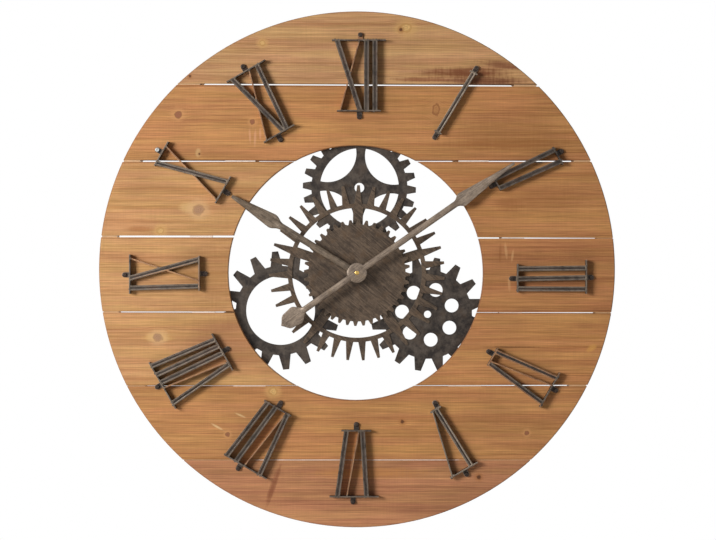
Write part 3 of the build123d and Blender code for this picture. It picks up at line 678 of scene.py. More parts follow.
@dataclass(frozen=True)
class FillerFinish(Finish):
    """Dried glue and filler: pale over the inner hoop, stained like the wood over the outer one."""

    turn_radius: float = 0.33
    turn_reach: float = 0.002
    pale: str = "FFF4EA"
    stained: str = "D8AE82"
    lump: Grain = Grain((220, 220, 220), 3, 0.6)

    def build(self, graph: Graph) -> bpy.types.Material:
        """Two colours by the distance from the dial's middle, both uneven.

        Args:
            graph: The node tree.

        Returns:
            The material.
        """
        radius = graph.math("SQRT", graph.square(graph.x, graph.z))
        far = graph.remap(radius, self.turn_radius - self.turn_reach, self.turn_radius + self.turn_reach)
        lump = graph.grain(self.lump)
        colour = graph.shade(graph.mix(far, self.pale, self.stained), graph.remap(lump, 0.3, 0.7), 0.86, 1.0)
        return graph.finish(colour, rough=0.6, height=lump, relief=0.0001)


@dataclass(frozen=True)
class CircuitFinish(Finish):
    """Lacquered circuit board with copper runs under the lacquer."""

    steps: float = 260
    runs: str = "8FA04E"
    fields: tuple[str, str] = ("1F6B3A", "25783F")

    def build(self, graph: Graph) -> bpy.types.Material:
        """Stepped runs between green fields.

        Args:
            graph: The node tree.

        Returns:
            The material.
        """
        vector = graph.coords((self.steps, self.steps, self.steps))
        step = graph.add("ShaderNodeTexBrick", {"Vector": vector, "Scale": 1.0, "Mortar Size": 0.12,
                                                "Mortar Smooth": 0.2, "Color1": self.fields[0],
                                                "Color2": self.fields[1], "Mortar": self.runs})
        return graph.finish(step.outputs[0], rough=0.3, height=step.outputs[1], relief=0.00003, Coat_Weight=0.4)


@dataclass(frozen=True)
class SleeveFinish(Finish):
    """Printed sleeve of the cell: two plain bands, with bare metal at both ends."""

    end: float = 0.0244
    change: float = 0.0098
    blur: float = 0.0002
    stripe_reach: tuple[float, float] = (0.0009, 0.0006)
    bands: tuple[str, str] = ("23262B", "B9773A")
    stripe: str = "D9DADB"
    bare: str = "C9C7C0"
    lines: Grain = Grain((90, 900, 900))

    def build(self, graph: Graph) -> bpy.types.Material:
        """Bands along X, and metal beyond the sleeve's ends.

        Args:
            graph: The node tree.

        Returns:
            The material.
        """
        lines = graph.grain(self.lines)
        colour = graph.mix(graph.remap(graph.x, self.change - self.blur, self.change + self.blur), *self.bands)
        away = graph.math("ABSOLUTE", graph.math("SUBTRACT", graph.x, self.change))
        colour = graph.mix(graph.remap(away, *self.stripe_reach), colour, self.stripe)
        bare = graph.remap(graph.math("ABSOLUTE", graph.x), self.end, self.end + self.blur)
        colour = graph.shade(graph.mix(bare, colour, self.bare), lines, 0.93, 1.07)
        graph.feed(graph.shader.inputs["Metallic"], bare)
        return graph.finish(colour, graph.remap(lines, 0.2, 0.8, 0.28, 0.4), height=lines, relief=0.00002)


GEAR_IRON = IronFinish("gear_iron", dark="251F1C", light="524941", rust="46382C", worn="6E6558", side="221A16",
                       brush_turn=1.2, brush=0.08, worn_share=0.4)
DIAL_IRON = IronFinish("dial_iron", dark="3A2F26", light="6A5949", rust="58432F", worn="85735E", side="281E17",
                       brush_turn=0.7, worn_share=0.5)
# On the numerals the pale worn colour, on the rounded edges and the foremost rims, is rubbed metal and partly a
# painted highlight.
NUMERAL_IRON = IronFinish("numeral_iron", dark="241E1B", light="4E433C", rust="4A3226", worn="C2B19C",
                          side="26160F", brush_turn=0.4, brush=0.2, worn_share=0.75, edge_shade_share=0.0,
                          rub_and_sheen_depth=0.0455, rub_and_sheen_share=0.16)
# Lighter copper-brown for the fronts of the numerals' thin strips.
COPPERY_IRON = IronFinish("coppery_iron", dark="7C543A", light="B88A62", rust="8A5E40", worn="E0B890",
                          side="8A5C40", brush_turn=0.4, brush=0.2, edge_shade_share=0.0)
# The hour hand's metal is a darker copy of the minute hand's: painted shade on the hour hand, and painted light
# on the minute hand.
SHADED_HOUR_METAL = IronFinish("shaded_hour_metal", dark="50453A", light="857564", rust="6A5641", worn="C0B09C",
                        side="2C221B", brush_turn=0.55, rough=0.38, worn_share=0.6)
LIT_MINUTE_METAL = IronFinish("lit_minute_metal", dark="6C5E52", light="9C8B7A", rust="83705A", worn="CDBFAE",
                          side="2C221B", brush_turn=-0.61, rough=0.38, worn_share=0.75)
SCREW_STEEL = PlatedFinish("screw_steel", "4A3E36", "281F1A", 0.42, metal=0.6)
ZINC_STEEL = PlatedFinish("zinc_steel", "C3C5C4", "9A9C98", 0.35)
BRASS = PlatedFinish("brass", "C6A45E", "947239", 0.26)
COPPER = PlatedFinish("copper", "C9764A", "8A4A2C", 0.35)
NICKEL = PlatedFinish("nickel", "C8C4B8", "A39F92", 0.25)
RUBBER = PlasticFinish("rubber", "1E1D1C", 0.75, pebble=0.0004)
CASE_PLASTIC = PlasticFinish("case_plastic", "1F2022", 0.42)
WHEEL_PLASTIC = PlasticFinish("wheel_plastic", "C9C4B6", 0.4)
CIRCUIT = CircuitFinish("circuit")
CELL_SLEEVE = SleeveFinish("cell_sleeve")
PLYWOOD = PlywoodFinish("plywood")
FILLER = FillerFinish("filler")


# ---------------------------------------------------------------------------------------------
# Meshes
# ---------------------------------------------------------------------------------------------
def placed(name: str, data: bpy.types.ID) -> bpy.types.Object:
    """New object, linked to the scene.

    Args:
        name: Its name.
        data: Its mesh, light or camera.

    Returns:
        The object.
    """
    made = bpy.data.objects.new(name, data)
    bpy.context.scene.collection.objects.link(made)
    return made


class Shape:
    """Mesh in the making, with the calls that this clock's pieces share."""

    weld_reach: float = 2e-6
    speck: float = 1e-6
    flat_angle: float = math.radians(1)
    bevel_angle: float = math.radians(30)
    bevel_faces: int = 2
    smooth_angle: float = math.radians(38)
    head_faces: int = 24
    recess_share: float = 0.7
    bead_swell: tuple[float, float] = (0.88, 1.1)
    bead_wear: float = 0.3

    def __init__(self) -> None:
        """Start an empty mesh with a mark for rubbed edges."""
        self.bm = bmesh.new()
        self.worn = self.bm.faces.layers.float.new("wear")

    @classmethod
    def of_node(cls, node: str) -> "Shape":
        """A clean copy of a CAD node's mesh, with its corners joined and its flats whole.

        Args:
            node: The node's name.

        Returns:
            The new shape.
        """
        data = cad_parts[node].data
        shape = cls()
        places = [shape.bm.verts.new(vertex.co) for vertex in data.vertices]
        for face in data.polygons:
            shape.bm.faces.new([places[index] for index in face.vertices])
        bmesh.ops.remove_doubles(shape.bm, verts=shape.bm.verts, dist=cls.weld_reach)
        bmesh.ops.dissolve_degenerate(shape.bm, edges=shape.bm.edges, dist=cls.speck)
        bmesh.ops.dissolve_limit(shape.bm, angle_limit=cls.flat_angle, verts=shape.bm.verts,
                                 edges=shape.bm.edges)
        return shape

    def islands(self) -> list[list]:
        """Groups of joined vertices.

        Returns:
            One list of vertices for each separate solid.
        """
        left, groups = set(self.bm.verts), []
        while left:
            todo, group = [left.pop()], []
            while todo:
                vertex = todo.pop()
                group.append(vertex)
                for edge in vertex.link_edges:
                    other = edge.other_vert(vertex)
                    if other in left:
                        left.remove(other)
                        todo.append(other)
            groups.append(group)
        return groups

    def soften(self, width: float) -> "Shape":
        """Round every sharp edge, and mark the rounded places as rubbed.

        Args:
            width: How far the rounding reaches.

        Returns:
            The same shape.
        """
        sharp = [edge for edge in self.bm.edges
                 if len(edge.link_faces) == 2 and edge.calc_face_angle(0.0) > self.bevel_angle]
        bmesh.ops.bevel(self.bm, geom=sharp, offset=width, segments=self.bevel_faces, profile=0.5,
                        affect="EDGES", clamp_overlap=True, material=1)
        for face in self.bm.faces:
            face[self.worn] = float(face.material_index)
            face.material_index = 0
        return self

    def lathe(self, place: tuple, profile: list, segments: int = 48) -> None:
        """Turn a profile about the depth axis.

        Args:
            place: X and Z of the axis.
            profile: Pairs of a radius and a depth, with a radius of 0 where it closes.
            segments: Faces round it.
        """
        rows = []
        for radius, depth in profile:
            if radius == 0:
                rows.append([self.bm.verts.new((place[0], -depth, place[1]))])
                continue
            ring = []
            for index in range(segments):
                across, up = polar(radius, math.tau * index / segments)
                ring.append(self.bm.verts.new((place[0] + across, -depth, place[1] + up)))
            rows.append(ring)
        for first, second in zip(rows, rows[1:]):
            for index in range(segments):
                after = (index + 1) % segments
                corners = [first[index % len(first)], first[after % len(first)],
                           second[after % len(second)], second[index % len(second)]]
                self.bm.faces.new(list(dict.fromkeys(corners)))

    def loft(self, rings: list[list]) -> list:
        """Skin a run of rings with as many vertices each, and close both its ends.

        Args:
            rings: The vertices, ring by ring.

        Returns:
            The side faces, ring by ring, and then the two ends.
        """
        faces = []
        for first, second in zip(rings, rings[1:]):
            for index in range(len(first)):
                after = (index + 1) % len(first)
                faces.append(self.bm.faces.new([first[index], first[after], second[after], second[index]]))
        return faces + [self.bm.faces.new(ring) for ring in (rings[0], rings[-1])]

    def cross_head(self, place: tuple, rings: list, recess: tuple, shank: list, turn: float) -> None:
        """Screw with a cross recess in its head.

        Args:
            place: X and Z of its axis.
            rings: Pairs of a radius and a depth, from the head's flat top out to its rim.
            recess: Reach, half width and depth of the cross at its floor.
            shank: Pairs of a radius and a depth, from under the head to the point.
            turn: How far the cross is turned.
        """
        reach, half, floor = recess
        outline = [(reach, -half), (reach, half), (half, half), (half, reach), (-half, reach), (-half, half),
                   (-reach, half), (-reach, -half), (-half, -half), (-half, -reach), (half, -reach),
                   (half, -half)]
        top = rings[0][1]
        loops = []
        for depth, share in ((top, 1.0), (floor, self.recess_share)):
            corners = []
            for across, up in outline:
                x = (across * math.cos(turn) - up * math.sin(turn)) * share
                z = (across * math.sin(turn) + up * math.cos(turn)) * share
                corners.append(self.bm.verts.new((place[0] + x, -depth, place[1] + z)))
            loops.append(corners)
        for index in range(len(outline)):
            after = (index + 1) % len(outline)
            self.bm.faces.new([loops[0][index], loops[0][after], loops[1][after], loops[1][index]])
        self.bm.faces.new(loops[1])
        start = len(self.bm.verts)
        self.lathe(place, rings + shank, self.head_faces)
        self.bm.verts.ensure_lookup_table()
        rim = [self.bm.verts[start + index] for index in range(self.head_faces)]
        edges = []
        for loop in (rim, loops[0]):
            for first, second in zip(loop, loop[1:] + loop[:1]):
                edges.append(self.bm.edges.get((first, second)) or self.bm.edges.new((first, second)))
        bmesh.ops.triangle_fill(self.bm, use_beauty=True, use_dissolve=False, edges=edges)

    def bead(self, place: Vector, size: tuple, draw: random.Random) -> None:
        """Lump of weld metal.

        Args:
            place: Its middle.
            size: Its half lengths along X, Y and Z.
            draw: Source of its uneven shape.
        """
        made = bmesh.ops.create_icosphere(self.bm, subdivisions=2, radius=1.0)
        for vertex in made["verts"]:
            swell = draw.uniform(*self.bead_swell)
            vertex.co = place + Vector([part * half * swell for part, half in zip(vertex.co, size)])
            for face in vertex.link_faces:
                face[self.worn] = self.bead_wear

    def piece(self, name: str, body: str, finish: Finish, slot: str, *nodes: str,
              second: Finish | None = None) -> bpy.types.Object:
        """Close the mesh and hand it over as a piece of the clock.

        Args:
            name: The piece's name.
            body: The CAD body that it rides on.
            finish: Its finish.
            slot: The record's material slot; not used.
            *nodes: The CAD nodes that it stands for.
            second: The finish of the faces that are marked with material 1.

        Returns:
            The new object.
        """
        bmesh.ops.recalc_face_normals(self.bm, faces=self.bm.faces)
        for face in self.bm.faces:
            face.smooth = True
        mesh = bpy.data.meshes.new(name)
        self.bm.to_mesh(mesh)
        self.bm.free()
        mesh.set_sharp_from_angle(angle=self.smooth_angle)
        made = placed(name, mesh)
        for one in (finish, second) if second else (finish,):
            made.data.materials.append(one.material())
        flats = made.modifiers.new("flats", "WEIGHTED_NORMAL")
        flats.weight, flats.keep_sharp = 100, True
        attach(made, body)
        if nodes:
            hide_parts(*nodes)
        log.info("%s: %d faces, %s, rides on %s", name, len(mesh.polygons), finish.name, body)
        return made


def dress(node: str, finish: Finish) -> None:
    """Give a CAD node that stays its finish.

    Args:
        node: The node's name.
        finish: The finish.
    """
    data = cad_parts[node].data
    data.materials.clear()
    data.materials.append(finish.material())
    log.info("%s: CAD node, %s", node, finish.name)


# ---------------------------------------------------------------------------------------------
# Sub-assemblies
# ---------------------------------------------------------------------------------------------
@dataclass(frozen=True)
class Joint:
    """Joint between two rows of boards, in one straight span or in one on each side of the opening.

    A span's two ends are each an X, a rise above the row's own height, and a width.
    """

    height: float
    spans: tuple
    cad_width: float = 0.0026

    def line(self, x: float) -> Point:
        """The joint's middle and width at a place.

        Args:
            x: The place.

        Returns:
            Its height and its width there.
        """
        span = self.spans[0] if x < 0 else self.spans[-1]
        (start, first_rise, first_width), (end, last_rise, last_width) = span
        share = (x - start) / (end - start)
        rise = first_rise + (last_rise - first_rise) * share
        return self.height + rise, first_width + (last_width - first_width) * share


JOINTS = (
    Joint(0.2911, (((-0.27, 0.0020, 0.0027), (0.27, -0.0008, 0.0027)),)),
    Joint(0.1730, (((-0.36, 0.0005, 0.0028), (-0.14, 0.0003, 0.0013)),
                   ((0.14, 0.0003, 0.0018), (0.36, 0.0003, 0.0022)))),
    Joint(0.0555, (((-0.40, 0.0014, 0.0031), (-0.18, 0.0010, 0.0030)),
                   ((0.18, -0.0012, 0.0022), (0.40, -0.0024, 0.0022)))),
    Joint(-0.0608, (((-0.40, 0.0002, 0.0015), (-0.18, 0.0, 0.0015)),
                    ((0.18, -0.0006, 0.0008), (0.40, -0.0010, 0.0014)))),
    Joint(-0.1756, (((-0.36, 0.0003, 0.0010), (-0.06, 0.0006, 0.0009)),
                    ((0.06, 0.0006, 0.0012), (0.36, 0.0010, 0.0019)))),
    Joint(-0.2892, (((-0.28, -0.0010, 0.0013), (0.28, -0.0010, 0.0013)),), cad_width=0.0005),
)


@dataclass
class Filler:
    """Pale glue and wood filler that stands in the joints where they cross the two hoops.

    A hoop is its inner radius, its outer radius, and the depth of the filler's front. A joint that only
    grazes a hoop gets none.
    """

    hoops: tuple = ((0.2300, 0.2640, 0.0333), (0.3755, 0.3985, 0.0334))
    graze: float = 0.02
    closed_width: float = 0.001
    back: float = 0.0218
    bite: float = 0.0001
    sink: float = 0.0004
    step: float = 0.002
    seed: int = 4

    def bead(self, shape: Shape, joint: Joint, start: float, end: float, front: float,
             draw: random.Random) -> None:
        """Lay one bead along a joint.

        Args:
            shape: The mesh that takes it.
            joint: The joint.
            start: X of its one end.
            end: X of its other end.
            front: Its depth out from the wall.
            draw: Source of its uneven front.
        """
        count = max(2, round(abs(end - start) / self.step))
        rings = []
        for index in range(count + 1):
            x = start + (end - start) * index / count
            middle, width = joint.line(x)
            half = width / 2 + self.bite
            sunk = front - draw.uniform(0.0, self.sink)
            profile = ((-half, self.back), (-half, front), (0.0, sunk), (half, front), (half, self.back))
            rings.append([shape.bm.verts.new((x, -depth, middle + up)) for up, depth in profile])
        shape.loft(rings)

    def build(self) -> None:
        """Fill every crossing, and the whole of the closed joint."""
        draw, shape = random.Random(self.seed), Shape()
        for joint in JOINTS:
            rise = abs(joint.height - RIM_RISE)
            for inner, outer, front in self.hoops:
                if outer <= rise + self.graze:
                    continue
                closed = joint.cad_width < self.closed_width
                near = 0.0 if closed else math.sqrt(max(inner ** 2 - rise ** 2, 0.0))
                far = math.sqrt(outer ** 2 - rise ** 2)
                for side in (-1, 1):
                    self.bead(shape, joint, side * near, side * far, front, draw)
        shape.piece("joint_filler", BODY_DIAL, FILLER, "plywood")


@dataclass
class Planking:
    """Ten pine boards in seven rows, on two plywood hoops.

    A curve that the boards end on is its centre's X and Z and its radius.
    """

    edge: float = 0.0005
    curves: tuple = ((0.0, RIM_RISE, 0.4), (OPENING_SHIFT, 0.0, 0.1975))
    near: float = 0.0003

    def joined(self, x: float, z: float) -> Point:
        """Place of a board's corner, moved to its joint's own line along the curve that it stands on.

        Args:
            x: The corner's X.
            z: The corner's Z.

        Returns:
            The new X and Z.
        """
        for joint in JOINTS:
            away = z - joint.height
            if abs(abs(away) - joint.cad_width / 2) < self.near:
                middle, width = joint.line(x)
                moved = middle + math.copysign(width / 2, away)
                for shift, rise, radius in self.curves:
                    if abs(math.hypot(x - shift, z - rise) - radius) < self.near:
                        reach = math.sqrt(radius ** 2 - (moved - rise) ** 2)
                        return shift + math.copysign(reach, x - shift), moved
                return x, moved
        return x, z

    def finishes(self) -> dict[str, PineFinish]:
        """Each board's own wood.

        Returns:
            The finish by the name of its node.
        """
        return {
            "board_top": PineFinish("pine_top", Tone.PALE, 1.3, 0.33, 0.045, 0.02, knots=(
                Knot(-0.1466, 0.3565, 0.0045, Mark.PALE_KNOT), Knot(-0.259, 0.305, 0.0022, Mark.PIN),
                Knot(0.0754, 0.3795, 0.009, Mark.PALE_KNOT, 1.3), Knot(0.068, 0.377, 0.0028, Mark.PIN),
            ), streaks=(
                Streak(0.17, 0.310, 0.095, 0.012, "743C20", 0.9),
                Streak(0.2, 0.298, 0.085, 0.008, "66301C", 0.85),
                Streak(0.23, 0.322, 0.055, 0.008, "743E28", 0.75, 0.12),
                Streak(0.1, 0.300, 0.06, 0.005, "84442A", 0.75),
            )),
            "board_upper": PineFinish("pine_upper", Tone.GOLDEN, 4.1, 0.205, 0.05, -0.012, knots=(
                Knot(-0.2776, 0.2449, 0.0058, Mark.BROWN_KNOT, 1.1),
                Knot(-0.1619, 0.234, 0.004, Mark.BROWN_KNOT),
                Knot(-0.2443, 0.1844, 0.0016, Mark.PIN), Knot(0.1225, 0.2534, 0.0055, Mark.RING_KNOT, 0.6),
            ), streaks=(
                Streak(-0.166, 0.212, 0.015, 0.0024, "E3AE88", 0.5, 1.5),
                Streak(-0.246, 0.186, 0.006, 0.010, "DDBB82", 0.6),
                Streak(-0.158, 0.208, 0.018, 0.0028, "E3AE88", 0.5, 1.6),
                Streak(0.24, 0.2, 0.12, 0.012, "9A5A2C", 0.35),
                Streak(-0.150, 0.215, 0.013, 0.0024, "E3AE88", 0.5, 1.55),
                Streak(0.24, 0.215, 0.12, 0.04, "8E5A30", 0.35),
            )),
            "board_high_left": PineFinish("pine_high_left", Tone.HONEY, 7.7, 0.135, 0.05, 0.0, knots=(
                Knot(-0.2455, 0.098, 0.0085, Mark.GREY_KNOT, 1.1), Knot(-0.3047, 0.065, 0.0055, Mark.PALE_KNOT),
            ), streaks=(
                Streak(-0.262, 0.101, 0.018, 0.012, "E3BC80", 0.6),
                Streak(-0.335, 0.068, 0.03, 0.006, "A4602E", 0.5),
            )),
            "board_high_right": PineFinish("pine_high_right", Tone.GOLDEN, 9.2, 0.16, 0.055, 0.015, streaks=(
                Streak(0.235, 0.105, 0.03, 0.014, "8A5428", 0.35), Streak(0.28, 0.12, 0.1, 0.03, "9A6234", 0.3),
            )),
            "board_middle_left": PineFinish("pine_middle_left", Tone.HONEY, 12.6, 0.03, 0.04, 0.0, streaks=(
                Streak(-0.215, -0.005, 0.08, 0.06, "9A6438", 0.4),
            )),
            "board_middle_right": PineFinish("pine_middle_right", Tone.RUSSET, 15.5, -0.005, 0.05, streaks=(
                Streak(0.231, 0.034, 0.017, 0.003, "E2B27C", 0.5, 1.45),
                Streak(0.241, 0.026, 0.013, 0.0026, "E2B27C", 0.5, 1.7),
                Streak(0.236, -0.018, 0.015, 0.003, "E2B27C", 0.45, 1.5),
                Streak(0.222, 0.03, 0.02, 0.003, "8A5028", 0.4, 1.6),
            )),
            "board_low_left": PineFinish("pine_low_left", Tone.HONEY, 18.4, -0.095, 0.045, 0.01, knots=(
                Knot(-0.3086, -0.1002, 0.0075, Mark.GREY_KNOT, 1.2),
            ), streaks=(
                Streak(-0.3086, -0.1, 0.03, 0.008, "E2B66C", 0.6),
                Streak(-0.195, -0.105, 0.09, 0.06, "9A6040", 0.35),
            )),
            "board_low_right": PineFinish("pine_low_right", Tone.GOLDEN, 21.9, -0.14, 0.06, -0.01, streaks=(
                Streak(0.364, -0.1164, 0.012, 0.006, "DDA458", 0.8, -0.6),
                Streak(0.24, -0.115, 0.06, 0.0016, "5E3A20", 0.7),
            )),
            "board_lower": PineFinish("pine_lower", Tone.GOLDEN, 25.3, -0.235, 0.035, 0.004, knots=(
                Knot(-0.1298, -0.1838, 0.0065, Mark.PALE_KNOT, 1.1),
                Knot(-0.2005, -0.2506, 0.0035, Mark.BROWN_KNOT),
                Knot(0.0703, -0.2308, 0.0032, Mark.PIN), Knot(0.2632, -0.248, 0.0035, Mark.BROWN_KNOT),
            ), streaks=(
                Streak(-0.216, -0.239, 0.014, 0.0022, "E6C692", 0.8, 0.5),
                Streak(-0.18, -0.221, 0.012, 0.002, "E6C692", 0.7, 0.4),
            )),
            "board_bottom": PineFinish("pine_bottom", Tone.MAUVE, 28.8, -0.37, 0.07, -0.008, knots=(
                Knot(0.1887, -0.3167, 0.0035, Mark.PIN),
            ), streaks=(
                Streak(-0.13, -0.33, 0.045, 0.006, "7A3E26", 0.7, -1.25),
                Streak(0.02, -0.31, 0.12, 0.012, "C98A4A", 0.5),
            )),
        }

    def build(self) -> None:
        """Fit the boards at their joints and break their edges. The hoops keep their CAD meshes."""
        for node, finish in self.finishes().items():
            shape = Shape.of_node(node)
            for vertex in shape.bm.verts:
                vertex.co.x, vertex.co.z = self.joined(vertex.co.x, vertex.co.z)
            shape.soften(self.edge).piece(f"{node}_planed", BODY_DIAL, finish, "pine", node)
        for node in ("hoop_outer", "hoop_inner"):
            dress(node, PLYWOOD)


@dataclass
class Ironwork:
    """The five flat gears, with rounded and rubbed edges."""

    edge: float = 0.00035
    right_root: float = 0.0683
    root_near: float = 0.0004
    root_growth: float = 0.0011

    def deepen(self, shape: Shape) -> None:
        """Set the roots of the right gear's teeth a little further out, as the photograph has them.

        Args:
            shape: The gear's mesh.
        """
        spots = [vertex.co for vertex in shape.bm.verts]
        across, up = ((max(spot[axis] for spot in spots) + min(spot[axis] for spot in spots)) / 2
                      for axis in (0, 2))
        for spot in spots:
            x, z = spot.x - across, spot.z - up
            radius = math.hypot(x, z)
            if abs(radius - self.right_root) < self.root_near:
                grown = 1 + self.root_growth / radius
                spot.x, spot.z = across + x * grown, up + z * grown

    def build(self) -> None:
        """Round the gears' edges."""
        gears = {"gear_top": GEAR_IRON, "gear_left": GEAR_IRON, "gear_right": GEAR_IRON,
                 "ring_gear": DIAL_IRON, "saw_disc": DIAL_IRON}
        for node, finish in gears.items():
            shape = Shape.of_node(node)
            if node == "gear_right":
                self.deepen(shape)
            shape.soften(self.edge).piece(f"{node}_rubbed", BODY_DIAL, finish, finish.name, node)
        dress("disc_spacer", DIAL_IRON)


@dataclass
class Numerals:
    """Twelve welded roman numerals, with beads of weld where the bars meet their end strips.

    Shifts, strokes and strips are shares of the height, hour by hour: how far the inner and the outer end
    strip are moved, and where each bar and the thin strip cross the outer and the inner one.
    """

    rim_middle: float = 0.29875
    height: float = 0.105
    board_front: float = 0.034
    depth: float = 0.012
    edge: float = 0.0005
    bead_radius: float = 0.0021
    bead_squash: float = 0.8
    bead_sides: tuple[float, float] = (0.0014, 0.003)
    bead_sizes: tuple[float, float] = (0.7, 1.15)
    bead_sinks: tuple[float, float] = (0.75, 1.3)
    bead_stray: float = 0.001
    seed: int = 12
    shifts: tuple = ((0.0, 0.02), (0.07, 0.05), (0.02, 0.03), (0.03, 0.0), (0.02, 0.0), (0.03, 0.0),
                     (0.01, -0.01), (-0.02, -0.01), (-0.02, 0.0), (-0.05, 0.0), (-0.04, 0.0), (-0.01, 0.03))
    strokes: tuple = (
        ((0.04, 0.02),),
        ((-0.07, -0.14), (0.12, 0.015)),
        ((-0.02, -0.01), (0.12, 0.14), (0.29, 0.285)),
        ((-0.08, 0.03), (0.34, 0.23)),
        ((-0.01, 0.02), (0.31, 0.08)),
        ((0.29, 0.155), (-0.14, -0.08)),
        ((0.29, 0.16), (0.13, 0.02), (-0.27, -0.18)),
        ((0.28, 0.15), (0.13, 0.04), (0.0, -0.08), (-0.35, -0.27)),
        ((-0.13, 0.15), (-0.275, -0.245)),
        ((-0.12, 0.16),),
        ((-0.19, 0.08), (0.23, 0.14)),
        ((-0.295, 0.045), (0.14, 0.14), (0.265, 0.265)),
    )
    strips: tuple = (None, None, None, (0.045, 0.19), (0.31, 0.08), (0.15, -0.03), (-0.01, -0.155),
                     (-0.09, -0.23), (0.165, -0.17), (0.165, -0.15), (0.095, -0.205), (0.035, -0.25))
    strip_half: float = 0.00105
    strip_profile: tuple = ((-1.0, -0.0008), (-0.6, 0.0001), (0.6, 0.0001), (1.0, -0.0008))
    strip_steps: int = 60
    strip_reach: float = 0.0014
    bar_reach: float = 0.0042

    def lanes(self, hour: int, part: float) -> list[float]:
        """Distance clockwise of a numeral's thin strip, and then of each bar, part of the way out."""
        return [self.height * (inner + (outer - inner) * part)
                for outer, inner in (self.strips[hour - 1], *self.strokes[hour - 1])]

    def brown(self, shape: Shape, hour: int, inner: float, outer: float) -> None:
        """Lay the lighter, copper-brown front of a numeral's thin strip, clear of the bars that cross it.

        Args:
            shape: The numeral's mesh.
            hour: Its hour.
            inner: Radius of its inner end.
            outer: Radius of its outer end.
        """
        if self.strips[hour - 1] is None:
            return
        sine, cosine = math.sin(HOUR_STEP * hour), math.cos(HOUR_STEP * hour)
        for face in shape.bm.faces:
            spot = face.calc_center_median()
            rise = spot.z - RIM_RISE
            part = (spot.x * sine + rise * cosine - inner) / (outer - inner)
            across = spot.x * cosine - rise * sine
            strip, *bars = (abs(across - lane) for lane in self.lanes(hour, part))
            if strip < self.strip_reach and min(bars) > self.bar_reach:
                face.material_index = 1
        front, last, rings = self.board_front + self.depth, self.strip_steps - 1, []
        for index in range(2, self.strip_steps):
            part = index / self.strip_steps
            strip, *bars = self.lanes(hour, part)
            if index < last and all(abs(strip - bar) > self.bar_reach for bar in bars):
                radius = inner + (outer - inner) * part
                spots = [self.place(hour, strip + side * self.strip_half, radius, front + rise)
                         for side, rise in self.strip_profile]
                rings.append([shape.bm.verts.new(spot) for spot in spots])
                continue
            if len(rings) > 1:
                for face in shape.loft(rings):
                    face.material_index = 1
            elif rings:
                bmesh.ops.delete(shape.bm, geom=rings[0], context="VERTS")
            rings = []

    def place(self, hour: int, across: float, radius: float, depth: float) -> Vector:
        """A point of a numeral in the row frame.

        Args:
            hour: The numeral's hour.
            across: Distance clockwise from the hour's own direction.
            radius: Distance from the rim's centre.
            depth: Distance out from the wall.

        Returns:
            The point.
        """
        angle = HOUR_STEP * hour
        x = across * math.cos(angle) + radius * math.sin(angle)
        z = RIM_RISE - across * math.sin(angle) + radius * math.cos(angle)
        return Vector((x, -depth, z))

    def build(self) -> None:
        """Round and weld every numeral."""
        draw = random.Random(self.seed)
        front = self.board_front + self.depth
        for hour in range(1, 13):
            node = f"numeral_{hour:02d}"
            shape = Shape.of_node(node).soften(self.edge)
            inner_shift, outer_shift = self.shifts[hour - 1]
            inner = self.rim_middle - self.height / 2 + inner_shift * self.height
            outer = self.rim_middle + self.height / 2 + outer_shift * self.height
            self.brown(shape, hour, inner, outer)
            for outer_share, inner_share in self.strokes[hour - 1]:
                for share, radius in ((outer_share, outer), (inner_share, inner)):
                    for side in (-1, 1):
                        across = share * self.height + side * draw.uniform(*self.bead_sides)
                        half = self.bead_radius * draw.uniform(*self.bead_sizes)
                        along = radius + draw.uniform(-self.bead_stray, self.bead_stray)
                        spot = self.place(hour, across, along, front - half * draw.uniform(*self.bead_sinks))
                        shape.bead(spot, (half, half * self.bead_squash, half), draw)
            shape.piece(f"{node}_welded", BODY_DIAL, NUMERAL_IRON, "numeral_iron", node, second=COPPERY_IRON)


